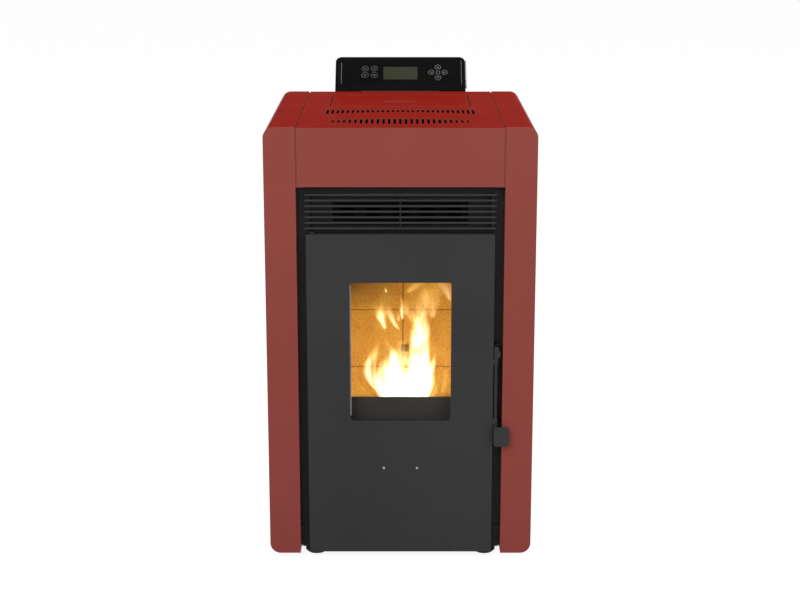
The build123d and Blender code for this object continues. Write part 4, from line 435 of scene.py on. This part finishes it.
def circuit_green():
    """Green laminate with paler tracks."""
    g = Graph("circuit_green")
    tracks = g.node("ShaderNodeTexVoronoi", feature="DISTANCE_TO_EDGE")
    tracks.inputs["Scale"].default_value = 160.0
    g.link(g.coords.outputs["Object"], tracks.inputs["Vector"])
    line = g.span(tracks.outputs["Distance"], 0.02, 0.05, 1.0, 0.0)
    base = g.ramp(g.noise(20.0), [(0.3, linear(24, 66, 42)), (0.7, linear(34, 84, 54))])
    g.principled(
        Base_Color=g.mix(line, base, linear(70, 120, 70)),
        Roughness=g.span(g.noise(80.0), 0.3, 0.7, 0.35, 0.5), Normal=g.bump(line, 0.00005, 0.5),
    )
    return g.material


RED = red_enamel()
DOOR_BLACK = black_enamel("door_black", linear(50, 50, 50), linear(44, 44, 44), 0.42, 0.52)
GRILLE_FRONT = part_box("air_grille")[0][1]
GRILLE_BLACK = black_enamel(
    "grille_black", linear(50, 50, 50), linear(44, 44, 44), 0.42, 0.52, GRILLE_FRONT + MM
)
FRAME_BLACK = black_enamel("frame_black", linear(35, 35, 36), linear(29, 29, 30), 0.45, 0.58)
ZINC = sheet_metal("zinc_sheet", linear(162, 165, 168), linear(126, 130, 134), 0.36, 0.52)
BRIGHT = sheet_metal(
    "bright_steel", linear(196, 196, 194), linear(150, 150, 148), 0.22, 0.36, (1, 1, 14), 120.0
)
ALUMINIUM = sheet_metal(
    "fan_aluminium", linear(206, 206, 206), linear(170, 170, 171), 0.28, 0.42, (12, 1, 1), 140.0
)
SCORCHED = scorched_steel("scorched_steel", 0.35, 0.2, 0.0, 0.7)
SOOTY = scorched_steel("sooty_steel", 0.0, 0.02, 0.93, 0.99)
CAST = cast_iron()
CRADLE = black_enamel("cradle_grey", linear(61, 63, 67), linear(54, 56, 60), 0.5, 0.62)
STUD = sheet_metal("stud_steel", linear(170, 170, 172), linear(120, 120, 122), 0.3, 0.45)
BRICK = fire_brick()
GLASS = window_glass()
FIBRE = fibre()
RUBBER = moulded(
    "soft_rubber", linear(18, 18, 18), linear(27, 27, 27), 0.62, 0.8, 380.0, 0.0003, 0.12
)
GLOSS = moulded(
    "console_gloss", linear(8, 8, 8), linear(13, 13, 12), 0.16, 0.24, 900.0, 0.00003, 0.035
)
KEY = moulded(
    "key_black", linear(15, 15, 15), linear(21, 21, 21), 0.3, 0.4, 900.0, 0.00005, 0.035
)
PLASTIC = moulded("black_plastic", linear(20, 20, 21), linear(30, 30, 31), 0.4, 0.55)
DISPLAY = display_glass()
# Silver for the printed marks on the keys and for the painted highlight lines on the faceplate.
PRINT_AND_HIGHLIGHT_SILVER = moulded("print_and_highlight_silver", linear(104, 104, 106), linear(128, 128, 130), 0.4, 0.5)
# Pale material of the painted highlight on the console's right-hand edge.
PAINTED_HIGHLIGHT_STRIP = moulded("painted_highlight_pale", linear(150, 150, 156), linear(176, 176, 182), 0.35, 0.45)
# Grey of the painted highlight down the window's rim.
PAINTED_HIGHLIGHT_RIM = moulded("painted_highlight_rim_grey", linear(118, 118, 122), linear(136, 136, 140), 0.4, 0.5)
BOARD = circuit_green()
MOTOR = black_enamel("motor_grey", linear(104, 107, 110), linear(88, 90, 93), 0.4, 0.5)

FINISHES = {
    RED: ("left_cheek", "right_cheek", "top_cover", "hopper_lid"),
    DOOR_BLACK: ("door_panel", "latch_rod", "latch_grip"),
    GRILLE_BLACK: ("air_grille",),
    FRAME_BLACK: (
        "front_frame", "hinge_brackets", "latch_keeper", "door_inner_frame", "console_bracket",
        "base_tray", "chassis_sides", "hopper",
    ),
    ZINC: (
        "back_panel", "feed_tube", "drop_chute", "smoke_duct", "smoke_fan_housing",
        "convection_fan_housing", "flue_spigot", "air_intake",
    ),
    BRIGHT: ("casing_screws", "glass_clips", "auger_screw", "igniter"),
    ALUMINIUM: ("smoke_fan_wheel", "convection_fan_wheel"),
    SCORCHED: ("ash_drawer",),
    SOOTY: ("firebox", "exchanger_tubes"),
    CAST: ("burn_pot",),
    CRADLE: ("burn_pot_cradle",),
    STUD: ("door_studs",),
    BRICK: ("fire_bricks", "baffle_plate"),
    GLASS: ("door_glass",),
    FIBRE: ("door_seals",),
    RUBBER: ("rubber_feet", "lid_seal"),
    GLOSS: ("console_housing", "console_faceplate"),
    KEY: (
        "key_round_1", "key_round_2", "key_round_3", "key_round_4",
        "key_up", "key_left", "key_down", "key_right", "key_centre",
    ),
    PLASTIC: ("pressure_switch", "mains_inlet", "mains_switch"),
    DISPLAY: ("console_display",),
    BOARD: ("control_board",),
    MOTOR: ("feed_gearmotor", "fan_motors"),
}
for finish, names in FINISHES.items():
    for node_name in names:
        dress(node_name, finish)


# ---------------------------------------------------------------- the fire

def flame_material(name, heat_scale, edge_power):
    """Additive flame light: hot along the middle of each tongue, torn by rising noise."""
    g = Graph(name)
    across = g.node("ShaderNodeAttribute", attribute_name="across")
    along = g.node("ShaderNodeAttribute", attribute_name="along")
    torn = g.noise(30.0, 4.0, g.place((1.5, 1.5, 0.5)), distortion=0.8)
    body = g.rest(g.math("POWER", g.math("ABSOLUTE", across.outputs["Fac"]), edge_power))
    fade = g.rest(g.math("POWER", along.outputs["Fac"], 2.2))
    root = g.span(along.outputs["Fac"], 0.0, 0.1, 0.0, 1.0)
    heat = g.times(g.times(body, fade), root)
    ripple = g.span(torn, 0.30, 0.62, 0.35, 1.15)
    heat = g.times(g.times(heat, ripple), heat_scale)
    colour = g.ramp(heat, [
        (0.02, (0.0, 0.0, 0.0, 1)), (0.24, (0.46, 0.29, 0.08, 1)), (0.48, (0.92, 0.76, 0.42, 1)),
        (0.78, (1.0, 0.95, 0.80, 1)),
    ])
    glow = g.node("ShaderNodeEmission")
    g.link(colour, glow.inputs["Color"])
    g.link(g.span(heat, 0.1, 0.9, 0.25, 1.9), glow.inputs["Strength"])
    clear = g.node("ShaderNodeBsdfTransparent")
    light = g.both(glow.outputs["Emission"], clear.outputs["BSDF"])
    g.link(light, g.output.inputs["Surface"])
    return g.material


FLAME = flame_material("flame", 1.0, 2.3)
WISP = flame_material("wisp", 0.50, 1.7)
HAZE = flame_material("haze", 0.36, 1.5)
VEIL = flame_material("veil", 0.20, 1.5)


def curve_at(knots, t):
    """A smooth value along evenly spaced knots, for t from 0 to 1 (a Catmull-Rom curve)."""
    last = len(knots) - 1
    place = min(t * last, last - 1e-6)
    i = int(place)
    u = place - i
    p0, p1 = knots[max(i - 1, 0)], knots[i]
    p2, p3 = knots[i + 1], knots[min(i + 2, last)]
    return 0.5 * (
        2 * p1 + (p2 - p0) * u + (2 * p0 - 5 * p1 + 4 * p2 - p3) * u ** 2
        + (3 * p1 - p0 - 3 * p2 + p3) * u ** 3
    )


FLAME_ROWS = 40
FLAME_COLUMNS = 11
SWAY = 1.6            # of a tongue's middle at its tip, in millimetres
THINNEST = 0.4        # width of a tongue, in millimetres


def ribbon(name, y, knots, phase, material):
    """One flame tongue through its knots (x, z, width in millimetres), bowed towards the front."""
    xs, zs, widths = zip(*knots)
    points = []
    across = []
    along = []
    for j in range(FLAME_ROWS + 1):
        t = j / FLAME_ROWS
        middle = curve_at(xs, t) + SWAY * math.sin(phase + 9 * t) * t
        height = curve_at(zs, t)
        reach = max(curve_at(widths, t), THINNEST) / 2
        for i in range(FLAME_COLUMNS):
            u = 2 * i / (FLAME_COLUMNS - 1) - 1
            wave = 1 + 0.10 * math.sin(phase * 3 + 13 * t + 2 * u)
            depth = 0.35 * reach * math.cos(u * math.pi / 2)
            points.append(((middle + u * reach * wave) * MM, y - depth * MM, height * MM))
            across.append(u)
            along.append(t)
    faces = []
    for j in range(FLAME_ROWS):
        for i in range(FLAME_COLUMNS - 1):
            first = j * FLAME_COLUMNS + i
            above = first + FLAME_COLUMNS
            faces.append((first, first + 1, above + 1, above))
    mesh = bpy.data.meshes.new(name)
    mesh.from_pydata(points, [], faces)
    for label, values in (("across", across), ("along", along)):
        layer = mesh.attributes.new(label, "FLOAT", "POINT")
        layer.data.foreach_set("value", values)
    mesh.polygons.foreach_set("use_smooth", [True] * len(mesh.polygons))
    piece = add_object(name, mesh, material)
    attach(piece, "pot")


POT_Y = FRONT_Y + 0.128
# The body of the fire. Each row is one tongue: how far it stands behind the middle of the pot
# in metres, and its knots (x, z, width in millimetres) from the foot to the tip.
TONGUES = (
    (0.000, (
        (10, 232, 56), (10, 266, 106), (10, 300, 112), (8, 332, 82), (4, 358, 40), (0, 374, 6),
    )),
    (0.004, ((14, 234, 50), (18, 270, 76), (26, 310, 64), (32, 345, 34))),
    (0.002, (
        (24, 234, 36), (34, 290, 50), (35, 345, 44), (35, 390, 40), (35, 420, 32), (34, 442, 8),
    )),
    (-0.004, ((20, 236, 30), (30, 300, 40), (33, 350, 38), (33, 392, 34), (32, 420, 22))),
    (0.008, (
        (-2, 234, 30), (-28, 268, 30), (-50, 298, 32), (-54, 322, 30), (-46, 348, 18),
        (-39, 372, 3),
    )),
    (0.006, ((-2, 236, 34), (-24, 264, 44), (-32, 292, 40), (-34, 318, 26), (-34, 340, 8))),
    (-0.004, ((-2, 236, 36), (-12, 278, 48), (-16, 318, 42), (-20, 348, 26), (-24, 378, 4))),
    (0.004, ((6, 236, 34), (0, 284, 44), (-8, 324, 36), (-12, 348, 20), (-16, 362, 4))),
    (0.010, ((28, 238, 26), (46, 276, 28), (55, 304, 22), (60, 326, 13), (63, 348, 2))),
)
# Torn-off licks above it.
WISPS = (
    (0.008, ((36, 378, 14), (28, 402, 30), (17, 419, 28), (9, 434, 20), (3, 456, 4))),
    (0.012, ((-27, 386, 4), (-31, 400, 18), (-37, 414, 28), (-43, 427, 24), (-60, 436, 4))),
    (0.011, ((-33, 400, 8), (-35, 414, 26), (-34, 428, 24), (-33, 441, 6))),
    (0.010, ((-2, 385, 4), (-11, 400, 16), (-17, 414, 19), (-21, 427, 17), (-25, 439, 4))),
    (0.013, ((3, 404, 4), (3, 422, 12), (2, 438, 11), (-2, 456, 3))),
    (0.014, ((-3, 401, 3), (-4, 408, 8), (-4, 415, 8), (-4, 422, 3))),
    (0.014, ((-26, 455, 3), (-26, 459, 6), (-26, 462, 6), (-26, 466, 3))),
)
# Broad drifts at the upper right.
HAZES = (
    (0.016, ((30, 396, 26), (40, 420, 42), (47, 446, 44), (49, 468, 48), (56, 498, 34))),
    (0.018, ((92, 436, 10), (84, 456, 30), (76, 474, 40), (64, 496, 34))),
    (0.019, ((56, 404, 14), (62, 436, 30), (66, 462, 40), (70, 498, 30))),
    (0.021, ((12, 452, 14), (26, 466, 30), (44, 478, 36), (68, 488, 34), (90, 494, 20))),
)
# Faint veils of glowing gas round the tongues.
VEILS = (
    (0.016, ((-10, 250, 70), (-34, 290, 74), (-46, 330, 56), (-40, 370, 26))),
    (0.018, ((20, 250, 90), (14, 310, 110), (4, 350, 90), (-4, 400, 40))),
    (0.018, ((44, 260, 60), (52, 320, 56), (50, 370, 44), (44, 420, 30))),
    (0.020, ((20, 400, 40), (30, 430, 54), (44, 460, 60), (56, 500, 40))),
    (0.020, ((-30, 380, 30), (-38, 410, 44), (-34, 440, 40), (-20, 470, 16))),
    (0.022, ((76, 262, 34), (80, 300, 36), (76, 350, 30), (82, 420, 20))),
    (0.018, ((50, 248, 26), (66, 272, 24), (70, 300, 18), (72, 336, 4))),
    (0.020, ((66, 250, 20), (80, 276, 18), (83, 306, 14), (82, 350, 4))),
    (0.020, ((-30, 258, 18), (-52, 272, 16), (-72, 296, 16), (-84, 326, 12), (-86, 350, 4))),
    (0.020, ((-44, 254, 16), (-64, 270, 14), (-80, 290, 14), (-90, 312, 8))),
)
# Each kind's name, rows and material, and the first phase of its waves and the step between rows.
FIRE = (
    ("flame", TONGUES, FLAME, 0.7, 1.3),
    ("wisp", WISPS, WISP, 0.4, 1.9),
    ("haze", HAZES, HAZE, 0.9, 1.5),
    ("veil", VEILS, VEIL, 1.1, 0.9),
)
for kind, rows, material, phase, step in FIRE:
    for number, (back, knots) in enumerate(rows):
        ribbon(f"{kind}_{number + 1}", POT_Y + back, knots, phase + step * number, material)


def ember_material():
    """Glowing wood pellets: orange in the cracks, grey ash on the outside."""
    g = Graph("embers")
    cloud = g.noise(240.0, 4.0)
    colour = g.ramp(cloud, [(0.4, linear(38, 30, 26)), (0.7, linear(120, 104, 92))])
    shader = g.principled(Base_Color=colour, Roughness=g.span(cloud, 0.3, 0.7, 0.8, 0.95))
    g.link(g.ramp(g.noise(90.0, 3.0), [
        (0.42, (0.9, 0.16, 0.01, 1)), (0.62, (1.0, 0.55, 0.12, 1)),
    ]), shader.inputs["Emission Color"])
    g.link(g.span(g.noise(60.0, 3.0), 0.4, 0.65, 0.3, 3.0), shader.inputs["Emission Strength"])
    return g.material


PELLETS = 150
PELLET_RADIUS = 0.003
PELLET_LENGTHS = (0.008, 0.015)
HEAP_RADIUS = 0.026
HEAP_FOOT = 0.224     # where the lowest pellets lie
HEAP_HEIGHT = 0.022
HEAP_RIM = 0.030      # the heap would be down to its foot at this radius


def make_embers():
    """A heap of eight-sided pellets in the burn pot, lower towards its edge."""
    pick = random.Random(7)
    heap = bmesh.new()
    for _ in range(PELLETS):
        spread = HEAP_RADIUS * math.sqrt(pick.random())
        turn = pick.uniform(0, 2 * math.pi)
        rise = HEAP_FOOT + pick.uniform(0, HEAP_HEIGHT) * (1 - spread / HEAP_RIM)
        place = Matrix.Translation(
            (spread * math.cos(turn), POT_Y + spread * math.sin(turn), rise)
        )
        spin = Matrix.Rotation(pick.uniform(0, 6.28), 4, "Z")
        tilt = Matrix.Rotation(pick.uniform(0.9, 1.6), 4, "X")
        bmesh.ops.create_cone(
            heap, cap_ends=True, segments=8, radius1=PELLET_RADIUS, radius2=PELLET_RADIUS,
            depth=pick.uniform(*PELLET_LENGTHS), matrix=place @ spin @ tilt,
        )
    piece = add_object("embers", as_mesh("embers", heap), ember_material())
    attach(piece, "pot")


make_embers()


# ---------------------------------------------------------------- console marks and painted highlights

CONSOLE_FOOT_Y = 0.213     # the lower edge of the console face, in metres
CONSOLE_FOOT_Z = 0.773
LEAN = math.radians(45)
# On the face a place is x, the way up along it and the lift off it, all in millimetres.
PRINT_DEPTH = 0.1          # of the marks, half of it in what carries them
KEY_LIFT = 1.25
PLATE_LIFT = 0.05
SHARPEST_SLANT = 0.35      # keeps a sharp corner's inset from running away
ROUND_KEYS_X = (-69.0, -51.0)
ROUND_KEYS_UP = (54.0, 38.0)
ARROWS_X = 73.5
ARROWS_UP = 45.0
PETAL = ((-4.2, 7.6), (4.2, 7.6), (7, 12), (5.6, 16.4), (0, 20.5), (-5.6, 16.4), (-7, 12))
ARROW = ((-2.2, 11.2), (2.2, 11.2), (0, 14.6))
WEDGE = ((-2, -1.4), (2, -1.4), (0, 2.2))


def on_console(x, up, lift):
    """A place on the console face, as metres in the scene."""
    y = CONSOLE_FOOT_Y + (up * math.cos(LEAN) - lift * math.sin(LEAN)) * MM
    z = CONSOLE_FOOT_Z + (up * math.sin(LEAN) + lift * math.cos(LEAN)) * MM
    return (x * MM, y, z)


def inset_outline(points, distance):
    """A convex outline moved inwards by a distance."""
    corners = [Vector(point) for point in points]
    count = len(corners)
    area = sum(
        corners[i].x * corners[(i + 1) % count].y - corners[(i + 1) % count].x * corners[i].y
        for i in range(count)
    )
    turn = 1 if area > 0 else -1
    moved = []
    for i, here in enumerate(corners):
        first = (here - corners[i - 1]).normalized()
        second = (corners[(i + 1) % count] - here).normalized()
        inwards = Vector((-first.y - second.y, first.x + second.x)).normalized() * turn
        slant = max(inwards.dot(Vector((-first.y, first.x)) * turn), SHARPEST_SLANT)
        moved.append(tuple(here + inwards * distance / slant))
    return moved


def mark(name, body, lift, loops=(), solids=()):
    """Silver marks on the console, printed ones and painted highlights: closed lines and filled
    shapes, a hair thick.
    """
    mesh = bmesh.new()

    def layer(outline, level):
        return [mesh.verts.new(on_console(x, up, level)) for x, up in outline]

    def wall(first, second):
        for i, corner in enumerate(first):
            j = (i + 1) % len(first)
            mesh.faces.new((corner, first[j], second[j], second[i]))

    for outline, width in loops:
        inner = inset_outline(outline, width)
        rings = [
            layer(outline, lift), layer(inner, lift),
            layer(inner, lift - PRINT_DEPTH), layer(outline, lift - PRINT_DEPTH),
        ]
        for i, ring in enumerate(rings):
            wall(ring, rings[(i + 1) % len(rings)])
    for outline in solids:
        top, under = layer(outline, lift), layer(outline, lift - PRINT_DEPTH)
        mesh.faces.new(top)
        mesh.faces.new(under)
        wall(top, under)
    bmesh.ops.recalc_face_normals(mesh, faces=mesh.faces)
    piece = add_object(name, as_mesh(name, mesh), PRINT_AND_HIGHLIGHT_SILVER)
    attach(piece, body)


def ring_points(x, up, radius, count=40):
    """The corners of a circle."""
    steps = [2 * math.pi * i / count for i in range(count)]
    return [(x + radius * math.cos(a), up + radius * math.sin(a)) for a in steps]


def turned(points, angle, x, up):
    """Points turned about the origin by degrees and moved."""
    c, n = math.cos(math.radians(angle)), math.sin(math.radians(angle))
    return [(x + c * a - n * b, up + n * a + c * b) for a, b in points]


def bar(x, up, wide, high):
    """The corners of an upright rectangle."""
    left, right = x - wide / 2, x + wide / 2
    low, top = up - high / 2, up + high / 2
    return [(left, low), (right, low), (right, top), (left, top)]


def key_symbols(x, up):
    """The filled symbols of the round keys: two bars upright, two level, a wedge and a dot."""
    return (
        [bar(x - 1.6, up, 1.0, 3.6), bar(x + 1.6, up, 1.0, 3.6)],
        [bar(x, up + 1.5, 4.4, 0.9), bar(x, up - 1.5, 4.4, 0.9)],
        [turned(WEDGE, -90, x, up)],
        [ring_points(x, up, 1.9, 20)],
    )


def make_marks():
    """The thin outlines and plain symbols of the keys, and two painted highlight lines on the
    faceplate.
    """
    places = [(x, up) for up in ROUND_KEYS_UP for x in ROUND_KEYS_X]
    for i, (x, up) in enumerate(places):
        mark(
            f"mark_round_{i + 1}", f"key_round_{i + 1}_body", KEY_LIFT,
            loops=[(ring_points(x, up, 6.6), 0.6)], solids=key_symbols(x, up)[i],
        )
    petal = inset_outline(PETAL, 0.6)
    for name, angle in (("up", 0), ("left", 90), ("down", 180), ("right", 270)):
        mark(
            f"mark_{name}", f"key_{name}_body", KEY_LIFT,
            loops=[(turned(petal, angle, ARROWS_X, ARROWS_UP), 0.8)],
            solids=[turned(ARROW, angle, ARROWS_X, ARROWS_UP)],
        )
    centre = bar(ARROWS_X, ARROWS_UP, 7.4, 7.4)
    mark("mark_centre", "key_centre_body", KEY_LIFT, loops=[(centre, 0.7)])
    # Painted highlights: pale lines along the left and right edges of the faceplate.
    mark("faceplate_left_painted_highlight", "cabinet", PLATE_LIFT, solids=[bar(-115.4, 44.0, 0.9, 52.0)])
    mark("faceplate_right_painted_highlight", "cabinet", PLATE_LIFT, solids=[bar(119.4, 46.0, 0.7, 60.0)])


make_marks()


def bead(name, body, place, round_off, material):
    """A slim strip of painted highlight with edges rounded by metres; place(x, y, z) maps a unit
    cube to it.
    """
    mesh = bmesh.new()
    bmesh.ops.create_cube(mesh, size=1.0)
    for vertex in mesh.verts:
        vertex.co = place(*vertex.co)
    bmesh.ops.bevel(
        mesh, geom=mesh.edges, offset=round_off, segments=3, profile=0.5, affect="EDGES",
    )
    strip = add_object(name, as_mesh(name, mesh), material)
    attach(strip, body)


def on_console_edge(x, up, lift):
    """Along the right-hand side of the console housing, where the strip is a painted highlight."""
    return on_console(128.3 + 2.4 * x, 44.0 + 66.0 * up, -4.0 + 6.0 * lift)


def on_window_edge(x, y, z):
    """Down the left-hand side of the window, where the light catches its rim: a painted highlight.
    """
    return ((-85.8 + 2.1 * x) * MM, FRONT_Y + (4.4 + 1.6 * y) * MM, (385.0 + 232.0 * z) * MM)


# Painted highlight: a pale strip on the console's right-hand edge.
bead("console_edge_painted_highlight", "cabinet", on_console_edge, 0.0007, PAINTED_HIGHLIGHT_STRIP)
# Painted highlight down the left-hand rim of the window.
bead("window_edge_painted_highlight", "door", on_window_edge, 0.0006, PAINTED_HIGHLIGHT_RIM)


# ---------------------------------------------------------------- floor, light and camera

WORLD_LIGHT = 0.36    # the strength of the world as a lamp
FLOOR_GLOW = 0.90     # what makes the floor white where it is seen; the lamps add the rest
FLOOR_REACH = 40      # metres from the middle to its edges
# Each lamp: name, place, target, side of its square in metres and power in watts.
LAMPS = (
    ("key", (-1.2, -3.4, 2.6), (0, 0, 0.45), 2.4, 84),
    ("fill", (1.8, -3.0, 1.4), (0, 0, 0.4), 2.4, 44),
    ("top", (0.0, 1.5, 3.2), (0, 0, 0.8), 1.6, 40),
    ("rim", (2.6, 1.7, 1.7), (0, 0.25, 0.8), 0.9, 26),
)
# The camera, as solved from the photograph's straight edges.
CAMERA_PLACE = (-0.0007, FRONT_Y - 2.8087, 1.1771)
CAMERA_DOWN = 14.003  # degrees below the horizon
SENSOR_WIDTH = 36.0
FOCAL_LENGTH = 76.36


def seen(tree):
    """1 for what is seen, also in gloss and through glass, and 0 for the light on the stove."""
    path = tree.nodes.new("ShaderNodeLightPath")
    total = path.outputs["Is Camera Ray"]
    for ray in ("Is Glossy Ray", "Is Transmission Ray"):
        either = tree.nodes.new("ShaderNodeMath")
        either.operation = "MAXIMUM"
        tree.links.new(total, either.inputs[0])
        tree.links.new(path.outputs[ray], either.inputs[1])
        total = either.outputs["Value"]
    return total


def make_world():
    """Even white surroundings."""
    world = bpy.data.worlds.new("studio")
    bpy.context.scene.world = world
    world.use_nodes = True
    tree = world.node_tree
    tree.nodes.clear()
    out = tree.nodes.new("ShaderNodeOutputWorld")
    blend = tree.nodes.new("ShaderNodeMixShader")
    lit = tree.nodes.new("ShaderNodeBackground")
    lit.inputs["Color"].default_value = (0.8, 0.8, 0.8, 1)
    lit.inputs["Strength"].default_value = WORLD_LIGHT
    white = tree.nodes.new("ShaderNodeBackground")
    white.inputs["Color"].default_value = (1.0, 1.0, 1.0, 1)
    white.inputs["Strength"].default_value = 1.0
    tree.links.new(seen(tree), blend.inputs["Fac"])
    tree.links.new(lit.outputs["Background"], blend.inputs[1])
    tree.links.new(white.outputs["Background"], blend.inputs[2])
    tree.links.new(blend.outputs["Shader"], out.inputs["Surface"])


def make_floor():
    """A pale floor that stays white but keeps a soft shadow under the stove."""
    g = Graph("floor")
    matt = g.node("ShaderNodeBsdfDiffuse")
    matt.inputs["Color"].default_value = (0.45, 0.45, 0.45, 1)
    pale = g.node("ShaderNodeBsdfDiffuse")
    pale.inputs["Color"].default_value = (0.30, 0.30, 0.30, 1)
    glow = g.node("ShaderNodeEmission")
    glow.inputs["Strength"].default_value = FLOOR_GLOW
    g.blend(
        seen(g.tree), matt.outputs["BSDF"], g.both(pale.outputs["BSDF"], glow.outputs["Emission"])
    )
    mesh = bpy.data.meshes.new("floor")
    far = FLOOR_REACH
    mesh.from_pydata(
        [(-far, -far, 0), (far, -far, 0), (far, far, 0), (-far, far, 0)], [], [(0, 1, 2, 3)]
    )
    floor = add_object("floor", mesh, g.material)


def area_light(name, place, target, size, power):
    """A soft square lamp that faces a target."""
    data = bpy.data.lights.new(name, "AREA")
    data.shape = "SQUARE"
    data.size = size
    data.energy = power
    lamp = bpy.data.objects.new(name, data)
    bpy.context.scene.collection.objects.link(lamp)
    lamp.location = place
    direction = Vector(target) - Vector(place)
    lamp.rotation_euler = direction.to_track_quat("-Z", "Y").to_euler()


def make_camera():
    """The photograph's view: from the front, a little above the top, looking down."""
    data = bpy.data.cameras.new("camera")
    data.sensor_width = SENSOR_WIDTH
    data.lens = FOCAL_LENGTH
    data.clip_end = 200.0
    camera = bpy.data.objects.new("camera", data)
    camera.location = CAMERA_PLACE
    camera.rotation_euler = (math.radians(90 - CAMERA_DOWN), 0, 0)
    bpy.context.scene.collection.objects.link(camera)
    bpy.context.scene.camera = camera


make_world()
make_floor()
for lamp in LAMPS:
    area_light(*lamp)
make_camera()
bpy.context.scene.view_settings.view_transform = "Standard"
